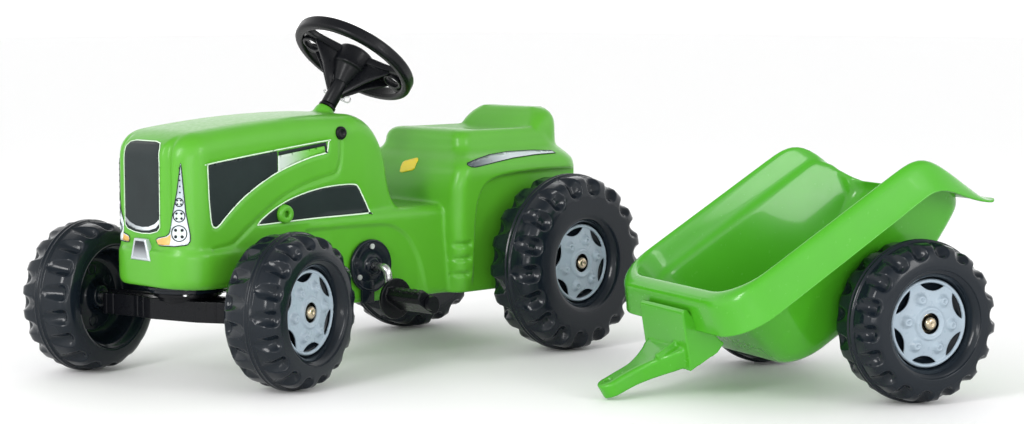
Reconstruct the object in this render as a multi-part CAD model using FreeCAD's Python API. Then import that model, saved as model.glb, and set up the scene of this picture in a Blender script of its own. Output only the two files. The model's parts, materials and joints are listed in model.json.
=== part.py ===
"""Ride-on pedal tractor with a two-wheeled tipping trailer parked beside it, one STEP file per piece.

Units are millimetres and +Z is up. The tractor is designed about its own centreline: X = 0, forward
is -Y, +X is the rider's left, and the floor is Z = 0. The trailer is designed about its axle and then
turned into place. On export every piece moves by SET_ORIGIN, so that the origin of the whole set is
the middle of its footprint on the floor.
"""
import FreeCAD, Part
import math
import os

V = FreeCAD.Vector
X_AXIS = V(1, 0, 0)
Y_AXIS = V(0, 1, 0)
Z_AXIS = V(0, 0, 1)
ORIGIN = V(0, 0, 0)

# ---- driving dimensions: the set -------------------------------------------------------------
SET_ORIGIN = V(322, 32, 0)        # middle of the footprint, measured from the tractor's centre
WALL = 4.0                        # blow-moulded wall
RUN = 0.06                        # radial running clearance of a shaft in its bore
ROD_R = 6.0                       # every axle and the crank

# ---- driving dimensions: tractor -------------------------------------------------------------
FRONT_Y = -282.0                  # front axle
REAR_Y = 282.0                    # rear axle
TRACK = 175.0                     # wheel seam plane from the centreline
FRONT_R = 105.0                   # front and trailer wheels
REAR_R = 130.0                    # rear wheels, also the rear axle's height
TYRE_OUT = 40.0                   # side walls of any tyre from its seam plane: outer
TYRE_IN = 49.0                    # and inner
CAP_R = 57.0                      # grey wheel cap
STEER_REST = 15.0                 # front axle as it stands, degrees to the left
STEER_RATIO = 0.352               # front axle turn per steering wheel turn

BONNET_W = 82.0                   # half width of the bonnet
LOWER_W = 88.0                    # half width of bumper and footwell
FENDER_W = 118.0                  # half width over the rear wings
NOSE_Y = -352.0                   # front of the bonnet
BUMPER_Y = -358.0                 # front of the bumper band
FLOOR_Z = 131.0                   # underside of the front of the body
BELLY_Z = 90.0                    # underside between the axles
SADDLE_Z = 219.0                  # top of the footwell between scuttle and seat
BONNET_TOP = 356.5                # crest of the bonnet
SEAT_TOP = 327.0
BACKREST_TOP = 353.0

COLUMN_TILT = 37.5                # steering column from the vertical, degrees
WHEEL_HUB = V(0, 20.2, 430.8)     # middle of the steering wheel's rim plane
WHEEL_R = 92.3                    # outer radius of the steering wheel
STEER_ROD_R = 4.5
STEER_THROW = 40.0                # offset of the steering rod's crank pin
COLUMN = V(0, math.sin(math.radians(COLUMN_TILT)), math.cos(math.radians(COLUMN_TILT)))
COLUMN_UP = V(0, -COLUMN.z, COLUMN.y)   # across the column, forward and up

CRANK = V(0, -31, 142)            # middle of the crank axle
CRANK_THROW = 43.0
CRANK_ANGLE = 8.0                 # left crank arm behind the vertical
PEDAL_TILT = -32.0                # pedals as they hang
ARM_X = 124.0                     # crank arms from the centreline
PEDAL_X = (133.0, 203.0)          # pedal block, inner and outer end

RING_TEETH = 24
SPROCKET_TEETH = 16
CHAIN_LINKS = 88

# ---- driving dimensions: trailer, in its own frame (X left, -Y forward, Z up, axle at 0) -----
TRAILER_AXLE = V(630.9, 328.3, FRONT_R)
TRAILER_YAW = -20.07
TRAILER_PITCH = 31.72             # nose down, with the drawbar on the floor
TRAILER_TRACK = 185.0
RIM_Z = 168.0                     # crest of the tub's rim above the axle
RIM_W = 150.0                     # half width at the crest
SKIRT_W = 175.0                   # half width at the foot of the rim's skirt
SKIRT_Z = 122.0
TUB_WALL = 3.0
EYE_Y = -337.0                    # drawbar eye
EYE_R = 6.5


# ---- building blocks ---------------------------------------------------------------------------
def box(x0, x1, y0, y1, z0, z1):
    return Part.makeBox(x1 - x0, y1 - y0, z1 - z0, V(x0, y0, z0))


def rod(a, b, r):
    return Part.makeCylinder(r, (b - a).Length, a, b - a)


def fuse(shapes):
    first, rest = shapes[0], shapes[1:]
    whole = first.multiFuse(rest) if rest else first
    return whole.removeSplitter()


def cut(shape, tools):
    return shape.cut(tools)


def mirrored(shape):
    return shape.mirror(ORIGIN, X_AXIS)


def turned(shape, centre, axis, angle):
    copy = shape.copy()
    copy.rotate(centre, axis, angle)
    return copy


def moved(shape, offset):
    copy = shape.copy()
    copy.translate(offset)
    return copy


def prism_x(points, x0, x1):
    """A prism along X from a closed outline of (y, z) points."""
    wire = Part.makePolygon([V(x0, y, z) for y, z in points + points[:1]])
    return Part.Face(wire).extrude(V(x1 - x0, 0, 0))


def prism_y(points, y0, y1):
    """A prism along Y from a closed outline of (x, z) points."""
    wire = Part.makePolygon([V(x, y0, z) for x, z in points + points[:1]])
    return Part.Face(wire).extrude(V(0, y1 - y0, 0))


def turn_profile(points):
    """Solid of revolution about the X axis from (x, r) points."""
    wire = Part.makePolygon([V(x, r, 0) for x, r in points + points[:1]])
    return Part.Face(wire).revolve(ORIGIN, X_AXIS, 360)


def rounded_outline(place, u0, u1, v0, v1, r_low, r_high):
    """Closed wire of a rectangle with round corners; r_low at v0 and r_high at v1."""
    corners = ((u0, v0, r_low, 180), (u1, v0, r_low, 270), (u1, v1, r_high, 0), (u0, v1, r_high, 90))
    arcs = []
    for u, v, r, start in corners:
        cu = u + r if u == u0 else u - r
        cv = v + r if v == v0 else v - r
        ends = [math.radians(start + turn) for turn in (0, 45, 90)]
        arcs.append([place(cu + r * math.cos(a), cv + r * math.sin(a)) for a in ends])
    edges = []
    for number, arc in enumerate(arcs):
        edges.append(Part.Arc(*arc).toShape())
        edges.append(Part.LineSegment(arc[2], arcs[(number + 1) % 4][0]).toShape())
    return Part.Wire(edges)


def loft(wires):
    return Part.makeLoft(wires, True, True)


def across(y, w, z0, z1, r_low, r_high, inset=0.0):
    """Section of the body in a plane across the tractor."""
    return rounded_outline(lambda u, v: V(u, y, v), -w + inset, w - inset, z0 + inset, z1 - inset,
                           max(r_low - inset, 1.0), max(r_high - inset, 1.0))


def level(z, w, y0, y1, r_front, r_rear, inset=0.0):
    """Section of the body in a level plane."""
    return rounded_outline(lambda u, v: V(u, v, z), -w + inset, w - inset, y0 + inset, y1 - inset,
                           max(r_front - inset, 1.0), max(r_rear - inset, 1.0))


# ---- tractor body ------------------------------------------------------------------------------
def bonnet_top(y):
    return BONNET_TOP - 21.0 * ((y + 82.0) / 270.0) ** 2


def bonnet(inset=0.0):
    """Bonnet and scuttle: a round nose, a gently crowned top and a rear that drops to the saddle."""
    corner, brow = 42.0, 26.0
    sections = []
    for angle in (0, 20, 40, 62, 90):
        a = math.radians(angle)
        y = NOSE_Y + corner * (1 - math.cos(a))
        lost = 1 - math.sin(a)
        sections.append((y, BONNET_W - corner * lost, 135.0, bonnet_top(y) - brow * lost, 8 + 16 * (1 - lost)))
    sections += [(y, BONNET_W, 135.0, bonnet_top(y), 24.0) for y in (-240.0, -160.0, -60.0)]
    scuttle = ((-38, 82, 353.5), (-20, 82, 347), (-6, 81, 334), (4, 80, 315), (9, 79, 288), (15, 79, 256),
               (24, 80, 235), (38, 84, SADDLE_Z))
    sections += [(y, w, 135.0, top, 20.0) for y, w, top in scuttle]
    wires = []
    for number, (y, w, z0, z1, r) in enumerate(sections):
        shift = inset if number == 0 else -inset if number == len(sections) - 1 else 0.0
        wires.append(across(y + shift, w, z0, z1, 6.0, r, inset))
    return loft(wires)


def bumper(inset=0.0):
    """Wide round band under the nose."""
    corner = 56.0
    wires = []
    for angle in (0, 20, 40, 62, 90):
        a = math.radians(angle)
        y = BUMPER_Y + corner * (1 - math.cos(a)) + (inset if angle == 0 else 0.0)
        w = LOWER_W - corner * (1 - math.sin(a))
        wires.append(across(y, w, FLOOR_Z, 181.0, 12.0, 5.0, inset))
    wires.append(across(-235.0 - inset, BONNET_W + 0.5, FLOOR_Z, 181.0, 12.0, 5.0, inset))
    return loft(wires)


def footwell(inset=0.0):
    """Middle of the body between the front wheels and the seat."""
    sections = ((-128.0, 84.0, FLOOR_Z), (-112.0, 86.0, 104.0), (-90.0, LOWER_W, BELLY_Z),
                (60.0, LOWER_W, BELLY_Z), (150.0, LOWER_W, BELLY_Z))
    wires = []
    for number, (y, w, z0) in enumerate(sections):
        shift = inset if number == 0 else -inset if number == len(sections) - 1 else 0.0
        wires.append(across(y + shift, w, z0, SADDLE_Z, 8.0, 14.0, inset))
    return loft(wires)


def seat_block(inset=0.0):
    """Seat box with the rear wings: level sections from the belly to the seat."""
    sections = ((BELLY_Z, 104, 122, 364), (130, 112, 116, 374), (226, FENDER_W, 110, 379),
                (262, FENDER_W + 2, 117, 378), (276, FENDER_W, 124, 376), (285, 108, 131, 373),
                (293, 95, 141, 368), (303, 86, 147, 364), (315, 83, 151, 360), (SEAT_TOP, 70, 166, 350))
    wires = []
    for number, (z, w, y0, y1) in enumerate(sections):
        lift = inset if number == 0 else -inset if number == len(sections) - 1 else 0.0
        wires.append(level(z + lift, w, y0, y1, 18.0, 44.0, inset))
    return loft(wires)


def backrest(inset=0.0):
    """Low rounded back of the seat."""
    wires = [level(298.0 + inset, 84, 284, 364, 30.0, 36.0, inset),
             level(326.0, 81, 304, 360, 20.0, 24.0, inset),
             level(344.0, 75, 320, 356, 14.0, 16.0, inset),
             level(BACKREST_TOP - inset, 62, 331, 350, 9.0, 9.0, inset)]
    return loft(wires)


def column_point(z):
    """Point of the steering column's axis at height z."""
    return WHEEL_HUB + COLUMN * ((z - WHEEL_HUB.z) / COLUMN.z)


ARCH_WALL_X = 106.0               # side wall inside the rear wheel arch


def wheel_arches(grow=0.0):
    """What the rear wheel arches take off both sides of the seat box."""
    outline = [(154 - grow, 70), (154 - grow, 214), (166 - grow, 244 + grow), (192, 258 + grow), (420, 264 + grow),
               (420, 70)]
    return both_sides(prism_x(outline, ARCH_WALL_X - grow, 150.0))


def body_outer():
    collar = rod(column_point(340.0), column_point(361.0), 14.0)
    return [bonnet(), bumper(), footwell(), seat_block(), backrest(), collar]


def body_shell():
    """One hollow green moulding: bonnet, footwell, seat and wings."""
    shell = fuse(body_outer()).cut(wheel_arches())
    dish = Part.makeCylinder(150.0, 128.0, V(-64, 246, 314.0 + 150.0), X_AXIS)
    cavities = [bonnet(WALL), bumper(WALL), footwell(WALL), backrest(WALL)]
    seat_cavity = seat_block(WALL).common(box(-200, 200, 0, 500, 0, 308)).cut(wheel_arches(WALL))
    belly_slot = box(-16, 16, -84, 324, BELLY_Z - 10, 150)
    crank_pin_way = box(-50, 50, -206, -138, FLOOR_Z - 4, 160)
    bores = [rod(column_point(370.0), column_point(325.0), 8.6)]
    bores.append(rod(V(-130, CRANK.y, CRANK.z), V(130, CRANK.y, CRANK.z), 11.2))
    bores.append(rod(V(-130, REAR_Y, REAR_R), V(130, REAR_Y, REAR_R), 11.2))
    bores.append(rod(V(0, FRONT_Y, 100), V(0, FRONT_Y, 160), ROD_R + RUN))
    for side in (-1, 1):
        bores.append(rod(V(side * 95, -178.5, 224), V(side * 60, -178.5, 224), 6.0))
        bores.append(rod(V(side * 95, -78, 330), V(side * 60, -78, 330), 6.0))
    shell = cut(shell, [dish] + cavities + [seat_cavity, belly_slot, crank_pin_way] + bores)
    return cut(shell, screw_holes())


# ---- stickers: thin skins that follow the moulding ----------------------------------------------
STICKER = 0.6                     # how far a sticker stands proud


def grown_bonnet():
    return bonnet(-STICKER).cut([bonnet(), bumper(), footwell()])


def side_prism(points, x0=60.0, x1=100.0):
    return prism_x(points, x0, x1)


def both_sides(shape):
    return Part.makeCompound([shape, mirrored(shape)])


def grille_sticker(skin):
    outline = [(-39, 322), (-20, 327), (20, 327), (39, 322), (38, 216), (20, 207), (-20, 207), (-38, 216)]
    return skin.common(prism_y(outline, NOSE_Y - 5, NOSE_Y + 12))


def nose_badge():
    """Raised trapezium that bridges the bumper band and the nose."""
    outline = [(-12, 197), (12, 197), (21, 170), (-21, 170)]
    return prism_y(outline, BUMPER_Y - 2.5, NOSE_Y + 1).cut([bonnet(), bumper()])


def headlight_stickers(skin):
    outline = [(67.5, 300), (71.7, 236), (75.3, 205), (73, 192), (34, 190), (29, 198), (49.9, 208), (55.6, 226),
               (62.7, 262)]
    return both_sides(skin.common(prism_y(outline, NOSE_Y - 5, NOSE_Y + 30)))


def bonnet_side_stickers(skin):
    outline = [(-306, 296), (-98, 322), (-102, 302), (-158, 292), (-204, 275), (-262, 236), (-297, 214)]
    return both_sides(skin.common(side_prism(outline)))


def lower_side_stickers(skin):
    outline = [(-222, 213), (-196, 232), (-140, 253), (-100, 259), (-47, 258), (-25, 218), (-25, 214)]
    hole = rod(V(60, -178.5, 224), V(100, -178.5, 224), 13.0)
    return both_sides(skin.common(side_prism(outline)).cut(hole))


def fender_stickers():
    skin = seat_block(-STICKER).cut(seat_block())
    outline = [(140, 277), (190, 288), (250, 292), (322, 289), (322, 283), (250, 281), (180, 274)]
    return both_sides(skin.common(side_prism(outline, 60.0, 130.0)))


def seat_label():
    skin = seat_block(-STICKER).cut(seat_block())
    return skin.common(prism_y([(-8, 262), (18, 266), (18, 280), (-8, 276)], 90, 200))


# ---- small fittings of the body -------------------------------------------------------------------
def side_plugs():
    plug = fuse([rod(V(BONNET_W, -78, 330), V(BONNET_W + 3, -78, 330), 9.0),
                 rod(V(BONNET_W - 10, -78, 330), V(BONNET_W, -78, 330), 5.8)])
    return both_sides(plug)


def accessory_bosses():
    """Moulded bushes that a front loader hooks into."""
    boss = fuse([rod(V(BONNET_W + 0.1, -178.5, 224), V(BONNET_W + 5, -178.5, 224), 12.0),
                 rod(V(BONNET_W - 16, -178.5, 224), V(BONNET_W + 0.1, -178.5, 224), 5.8)])
    return both_sides(cut(boss, [rod(V(BONNET_W - 12, -178.5, 224), V(BONNET_W + 6, -178.5, 224), 4.0)]))


def steering_upper_bush():
    top, low = column_point(363.4), column_point(340.0)
    sleeve = rod(low, top, 8.5)
    flange = rod(column_point(361.1), top, 12.5)
    return cut(fuse([sleeve, flange]), [rod(low - COLUMN * 5, top + COLUMN * 5, STEER_ROD_R + RUN)])


def steering_lower_bracket():
    """Bridge over the crank pin's opening that steadies the foot of the steering rod."""
    middle = column_point(184.0)
    beam = box(-62, 62, middle.y - 9, middle.y + 9, 176, 194)
    legs = [box(side * 57 - 5, side * 57 + 5, middle.y - 9, middle.y + 9, 139, 180) for side in (-1, 1)]
    feet = [box(side * 62 - 10, side * 62 + 10, middle.y - 14, middle.y + 14, 139, 143) for side in (-1, 1)]
    bore = rod(column_point(160.0), column_point(210.0), STEER_ROD_R + RUN)
    return cut(fuse([beam] + legs + feet), [bore])


def screw(head, inward, length=10.0):
    """Pan-head screw: head outside the surface, shank going inward."""
    shank = rod(head, head + inward * length, 2.0)
    return fuse([rod(head - inward * 2.2, head, 3.8), shank])


def circle_points(centre, radius, angles, axis_u, axis_v):
    return [centre + axis_u * (radius * math.cos(math.radians(a))) + axis_v * (radius * math.sin(math.radians(a)))
            for a in angles]


BEARING_X = LOWER_W + 5.0         # outer face of the crank bearing plate
TURNTABLE_SCREWS = circle_points(V(0, FRONT_Y, 123), 50.2, (40, 140, 220, 320), X_AXIS, Y_AXIS)
BEARING_SCREWS = circle_points(V(BEARING_X, CRANK.y, CRANK.z), 28, (92, 210, 340), Y_AXIS, Z_AXIS)
HITCH_SCREWS = [V(x, 386, z) for x in (-22, 22) for z in (196, 230)]


def screw_holes():
    """Clearance holes in the moulding and in the plates screwed onto it."""
    holes = [rod(p - Z_AXIS * 5, p + Z_AXIS * 20, 2.1) for p in TURNTABLE_SCREWS]
    bearing = [rod(p + X_AXIS * 5, p - X_AXIS * 20, 2.1) for p in BEARING_SCREWS]
    holes += bearing + [mirrored(h) for h in bearing]
    holes += [rod(p + Y_AXIS * 5, p - Y_AXIS * 22, 2.1) for p in HITCH_SCREWS]
    return holes


def turntable_disc():
    """Stepped disc under the body that the front axle turns against."""
    steps = fuse([rod(V(0, FRONT_Y, 122.4), V(0, FRONT_Y, 127), 55),
                  rod(V(0, FRONT_Y, 127), V(0, FRONT_Y, FLOOR_Z), 62)])
    return cut(steps, [rod(V(0, FRONT_Y, 110), V(0, FRONT_Y, 140), ROD_R + RUN)] + screw_holes())


def turntable_screws():
    return Part.makeCompound([screw(V(p.x, p.y, 122.3), Z_AXIS, 14.0) for p in TURNTABLE_SCREWS])


KINGPIN_HEAD = 111.6              # just above the axle rod


def kingpin():
    head = rod(V(0, FRONT_Y, KINGPIN_HEAD), V(0, FRONT_Y, 116), 10)
    return fuse([head, rod(V(0, FRONT_Y, 116), V(0, FRONT_Y, 152), ROD_R)])


def kingpin_nut():
    nut = Part.Face(Part.makePolygon([V(11 * math.cos(math.radians(a)), FRONT_Y + 11 * math.sin(math.radians(a)), 139)
                                      for a in range(0, 361, 60)])).extrude(V(0, 0, 9))
    washer = rod(V(0, FRONT_Y, 135.1), V(0, FRONT_Y, 139), 16)
    return cut(fuse([nut, washer]), [rod(V(0, FRONT_Y, 130), V(0, FRONT_Y, 150), ROD_R)])


def crank_bearing():
    """Round plate with a stem down to the belly; the bush inside it carries the crank axle."""
    centre = V(LOWER_W, CRANK.y, CRANK.z)
    plate = rod(centre, V(BEARING_X, CRANK.y, CRANK.z), 37.5)
    boss = rod(V(BEARING_X, CRANK.y, CRANK.z), V(BEARING_X + 4, CRANK.y, CRANK.z), 12.0)
    bush = rod(V(70, CRANK.y, CRANK.z), centre, 11.0)
    stem = box(LOWER_W, BEARING_X, CRANK.y - 18, CRANK.y + 4, BELLY_Z + 1, CRANK.z - 20)
    bore = rod(V(60, CRANK.y, CRANK.z), V(110, CRANK.y, CRANK.z), ROD_R + RUN)
    return cut(fuse([plate, boss, bush, stem]), [bore] + screw_holes())


def bearing_screws():
    group = Part.makeCompound([screw(p, X_AXIS * -1, 12.0) for p in BEARING_SCREWS])
    return both_sides(group)


def rear_bearing():
    """Flanged bush in the wing's side wall."""
    flange = rod(V(ARCH_WALL_X, REAR_Y, REAR_R), V(ARCH_WALL_X + 4, REAR_Y, REAR_R), 24.0)
    bush = rod(V(88, REAR_Y, REAR_R), V(ARCH_WALL_X + 20, REAR_Y, REAR_R), 11.0)
    return cut(fuse([flange, bush]), [rod(V(80, REAR_Y, REAR_R), V(140, REAR_Y, REAR_R), ROD_R + RUN)])


# ---- towing jaw ------------------------------------------------------------------------------------
HITCH_Y = 448.0
JAW = (199.5, 225.5)              # lower and upper face of the gap that takes the drawbar eye


def tow_hitch():
    plate = box(-32, 32, 370, 386, 186, 240).cut(seat_block())
    cheeks = []
    for z in (JAW[0] - 6, JAW[1]):
        cheeks.append(box(-16, 16, 384, HITCH_Y, z, z + 6))
        cheeks.append(rod(V(0, HITCH_Y, z), V(0, HITCH_Y, z + 6), 16))
    web = box(-3, 3, 384, 430, JAW[0], JAW[1])
    bore = rod(V(0, HITCH_Y, 180), V(0, HITCH_Y, 250), 5.5 + RUN)
    return cut(fuse([plate, web] + cheeks), [bore] + screw_holes())


def tow_hitch_screws():
    return Part.makeCompound([screw(p, Y_AXIS * -1, 12.0) for p in HITCH_SCREWS])


def hitch_pin():
    """Lift-out pin with a ball grip on top."""
    shank = rod(V(0, HITCH_Y, 190), V(0, HITCH_Y, 233), 5.5)
    collar = rod(V(0, HITCH_Y, JAW[1] + 6.1), V(0, HITCH_Y, 235), 9.0)
    neck = rod(V(0, HITCH_Y, 235), V(0, HITCH_Y, 246), 4.0)
    return fuse([shank, collar, neck, Part.makeSphere(8.5, V(0, HITCH_Y, 250))])


# ---- steering ----------------------------------------------------------------------------------------
def steered(shape):
    """Turn a steering part from straight ahead to the angle at which the set stands."""
    return turned(shape, WHEEL_HUB, COLUMN, STEER_REST / STEER_RATIO)


def on_column(shape):
    """Place a shape made about +Z at the origin on the column, origin at the wheel's hub."""
    tilted = turned(shape, ORIGIN, X_AXIS, -COLUMN_TILT)
    return moved(tilted, WHEEL_HUB)


SLEEVE_FOOT = -83.0               # lower end of the steering wheel's sleeve, below its rim plane
CLIP_Z = -68.0                    # spring clip through the sleeve
ROD_TOP = 9.0                     # the steering rod ends this far below the rim plane


def steering_wheel():
    """Rim, two side spokes with loops, centre pad and the long hub down to its sleeve."""
    rim = Part.makeTorus(WHEEL_R - 8.0, 8.0)
    rim = rim.cut(Part.makeTorus(WHEEL_R - 8.0, 5.0))
    spokes = []
    for side in (-1, 1):
        spokes.append(box(min(side * 20, side * 70), max(side * 20, side * 70), -8, 8, -9, -3))
        loop = Part.makeCylinder(19.0, 6.0, V(side * 64, 0, -9))
        spokes.append(loop.cut(Part.makeCylinder(11.0, 8.0, V(side * 64, 0, -10))))
    arms_ring = Part.makeCylinder(WHEEL_R - 12, 6, V(0, 0, -9))
    wanted = [s.common(arms_ring) for s in spokes]
    hub = Part.makeCone(14.0, 26.0, 42.0, V(0, 0, -46))
    pad = Part.makeCylinder(27.0, 5.0, V(0, 0, -4))
    sleeve = Part.makeCylinder(11.0, 40.0, V(0, 0, SLEEVE_FOOT))
    whole = fuse([rim, hub, pad, sleeve] + wanted)
    bore = Part.makeCylinder(STEER_ROD_R, -ROD_TOP - SLEEVE_FOOT + 2.0, V(0, 0, SLEEVE_FOOT - 2.0))
    clip_hole = Part.makeCylinder(1.6, 40.0, V(-20, 0, CLIP_Z), X_AXIS)
    return steered(on_column(cut(whole, [bore, clip_hole])))


def steering_rod():
    """Steel rod from the wheel's sleeve to a crank pin that works in the front axle's fork."""
    top = WHEEL_HUB - COLUMN * ROD_TOP
    foot = column_point(165.0)
    throw = foot - COLUMN_UP * STEER_THROW
    tip = throw - COLUMN * 42.0
    joints = [Part.makeSphere(STEER_ROD_R, p) for p in (foot, throw)]
    bar = fuse([rod(top, foot, STEER_ROD_R), rod(foot, throw, STEER_ROD_R), rod(throw, tip, STEER_ROD_R)] + joints)
    clip_hole = on_column(Part.makeCylinder(1.6, 40.0, V(-20, 0, CLIP_Z), X_AXIS))
    return steered(cut(bar, [clip_hole]))


def column_clip():
    """Spring cotter through the sleeve."""
    leg = rod(V(-16, 0, CLIP_Z), V(14, 0, CLIP_Z), 1.2)
    ring = Part.makeTorus(5.0, 1.4, V(18.8, 0, CLIP_Z), Y_AXIS)
    return steered(on_column(fuse([leg, ring])))


# ---- front axle ----------------------------------------------------------------------------------------
def axled(shape):
    """Turn a front axle part from straight ahead to the angle at which the set stands."""
    return turned(shape, V(0, FRONT_Y, 0), Z_AXIS, STEER_REST)


FORK_Y = (FRONT_Y + 82, FRONT_Y + 122)   # slot for the steering rod's crank pin
FORK_HALF = 7.8


def front_axle_bridge():
    """Ribbed box beam with a turning disc on top and a forked arm behind."""
    y0, y1 = FRONT_Y - 21, FRONT_Y + 21
    beam = box(-128, 128, y0, y1, 84, 113).cut(box(-124, 124, y0 + 4, y1 - 4, 80, 109))
    middle = box(-66, 66, y0 - 14, y1 + 10, 84, 113).cut(box(-62, 62, y0 - 10, y1 + 6, 80, 109))
    ribs = [box(x - 1.5, x + 1.5, y0 + 1, y1 - 1, 84, 112) for x in range(-112, 113, 16) if abs(x) > 20]
    tube = rod(V(-134, FRONT_Y, FRONT_R), V(134, FRONT_Y, FRONT_R), 10.5)
    disc = rod(V(0, FRONT_Y, 116), V(0, FRONT_Y, 122), 46)
    neck = rod(V(0, FRONT_Y, 110), V(0, FRONT_Y, 116), 40)
    arm = box(-17, 17, FRONT_Y + 15, FORK_Y[1] + 9, 113, 118)
    arm = arm.cut(box(-FORK_HALF, FORK_HALF, FORK_Y[0], FORK_Y[1], 100, 130))
    whole = fuse([beam, middle, tube, disc, neck, arm] + ribs)
    bores = [rod(V(0, FRONT_Y, 100), V(0, FRONT_Y, 130), ROD_R + RUN),
             rod(V(0, FRONT_Y, 100), V(0, FRONT_Y, 116.3), 10.4),
             rod(V(-140, FRONT_Y, FRONT_R), V(140, FRONT_Y, FRONT_R), ROD_R)]
    return axled(cut(whole, bores))


def axle_rod(half, centre):
    shaft = rod(centre - X_AXIS * half, centre + X_AXIS * half, ROD_R)
    return shaft


def push_nut(outer_x, centre):
    """Domed cap nut pressed on the end of an axle, on the +X side."""
    cap = turn_profile([(-5, ROD_R), (-5, 12), (-3.5, 12.5), (-2.5, 9), (4, 8), (6.5, 5), (7, 0), (2, 0), (2, ROD_R)])
    return moved(cap, centre + X_AXIS * outer_x)


def nut_pair(half, centre):
    nut = push_nut(half, ORIGIN)
    return moved(both_sides(nut), centre)


# ---- wheels --------------------------------------------------------------------------------------------
HUB_X = (-27.0, 19.6)             # hub tube of every wheel, from its inner to its outer end
AXLE_OUT = 25.0                   # axle end beyond the wheel's seam plane
CAP_X = 20.0                      # back of the wheel cap


def tyre(radius):
    """Hollow one-piece wheel about +X with its outside at +X; the deep dish on each side holds the cap."""
    out = [(-4, radius), (4, radius), (6, radius - 4), (24, radius - 6), (33, radius - 9.5), (38, radius - 19),
           (TYRE_OUT, radius - 30), (TYRE_OUT - 2, CAP_R + 11), (33, CAP_R + 5), (26, CAP_R + 1.5), (CAP_X, CAP_R + 1),
           (CAP_X, 54), (16, 48), (16, 20), (HUB_X[1], 18), (HUB_X[1], 0), (HUB_X[0], 0), (HUB_X[0], 16), (-14, 20),
           (-10, 52), (-28, CAP_R + 3), (-40, CAP_R + 8), (-46, CAP_R + 14), (-TYRE_IN, radius - 30),
           (-47, radius - 19), (-42, radius - 9.5), (-32, radius - 6), (-6, radius - 4)]
    t = 3.5
    void = [(-4, radius - t - 3), (4, radius - t - 3), (22, radius - 10), (30, radius - 13), (34.5, radius - 21),
            (TYRE_OUT - t, radius - 31), (35, CAP_R + 12), (25, CAP_R + 6), (14, CAP_R + 4), (12, 42), (12, 22),
            (-8, 24), (-7, 53), (-26, CAP_R + 6), (-38, CAP_R + 11), (-43, CAP_R + 16), (t - TYRE_IN, radius - 31),
            (-43.5, radius - 21), (-39, radius - 13), (-30, radius - 10)]
    wheel = turn_profile(out).cut(turn_profile(void))
    vents = circle_points(V(-30, 0, 0), 40, range(0, 360, 60), Y_AXIS, Z_AXIS)
    bores = [rod(p, p + X_AXIS * 30, 7.0) for p in vents]
    bores.append(rod(V(-60, 0, 0), V(60, 0, 0), ROD_R + RUN))
    return cut(wheel, bores)


def wheel_cap():
    """Grey cap: outer ring, six lens openings, six bolt bosses and a raised centre."""
    disc = turn_profile([(CAP_X, 13.5), (CAP_X, CAP_R), (CAP_X + 3, CAP_R), (CAP_X + 4, CAP_R - 4), (CAP_X + 2.5, 50),
                         (CAP_X + 5, 40), (CAP_X + 5, 22), (CAP_X + 8, 19), (CAP_X + 8, 15), (CAP_X + 6, 13.5)])
    lens_edge = rod(V(CAP_X - 5, 0, 0), V(CAP_X + 15, 0, 0), 52.0)
    lenses = []
    bosses = []
    for number in range(6):
        a = math.radians(60 * number + 30)
        centre = V(CAP_X - 5, 78 * math.cos(a), 78 * math.sin(a))
        lenses.append(rod(centre, centre + X_AXIS * 20, 34.0).common(lens_edge))
        b = math.radians(60 * number)
        boss = V(CAP_X + 3, 33 * math.cos(b), 33 * math.sin(b))
        bosses.append(rod(boss, boss + X_AXIS * 4.5, 6.0))
    return cut(fuse([disc] + bosses), lenses)


def placed_wheel(shape, side, centre):
    """Put a wheel part on its axle; side is +1 on the rider's left."""
    here = shape if side > 0 else mirrored(shape)
    return moved(here, centre)


# ---- pedal drive --------------------------------------------------------------------------------------------
def crank_pin(side):
    """Middle line of a crank pin at the arm; the right arm is opposite the left one."""
    a = math.radians(CRANK_ANGLE)
    return V(side * ARM_X, CRANK.y + side * CRANK_THROW * math.sin(a), CRANK.z - side * CRANK_THROW * math.cos(a))


def crank_rod():
    """One bent steel bar: axle, two arms and two pedal pins."""
    pieces = [rod(V(-ARM_X, CRANK.y, CRANK.z), V(ARM_X, CRANK.y, CRANK.z), ROD_R)]
    for side in (-1, 1):
        elbow = V(side * ARM_X, CRANK.y, CRANK.z)
        pin = crank_pin(side)
        end = V(side * (PEDAL_X[1] + 7), pin.y, pin.z)
        pieces += [rod(elbow, pin, ROD_R), rod(pin, end, ROD_R), Part.makeSphere(ROD_R, elbow),
                   Part.makeSphere(ROD_R, pin)]
    return fuse(pieces)


def pedal(side):
    """Ribbed platform with a round weight at its inner end."""
    x0, x1 = PEDAL_X
    core = box(x0, x1, -22, 22, -8, 8)
    ribs = [box(x, x + 3, -23, 23, -9.5, 9.5) for x in range(int(x0) + 6, int(x1) - 4, 11)]
    hub = rod(V(x0 - 1, 0, 0), V(x1 + 1, 0, 0), 11.0)
    disc = rod(V(x0 - 1, 0, 0), V(x0 + 4, 0, 0), 28.5)
    whole = cut(fuse([core, hub, disc] + ribs), [rod(V(x0 - 5, 0, 0), V(x1 + 5, 0, 0), ROD_R + RUN)])
    whole = turned(whole, ORIGIN, X_AXIS, PEDAL_TILT)
    here = whole if side > 0 else mirrored(whole)
    pin = crank_pin(side)
    return moved(here, V(0, pin.y, pin.z))


def pedal_clips():
    """Push-on caps that keep the pedals on their pins."""
    caps = []
    for side in (-1, 1):
        pin = crank_pin(side)
        start = V(side * (PEDAL_X[1] + 2), pin.y, pin.z)
        end = V(side * (PEDAL_X[1] + 9), pin.y, pin.z)
        stop = V(side * (PEDAL_X[1] + 7), pin.y, pin.z)
        caps.append(cut(rod(start, end, 10.0), [rod(start, stop, ROD_R)]))
    return Part.makeCompound(caps)


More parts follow.
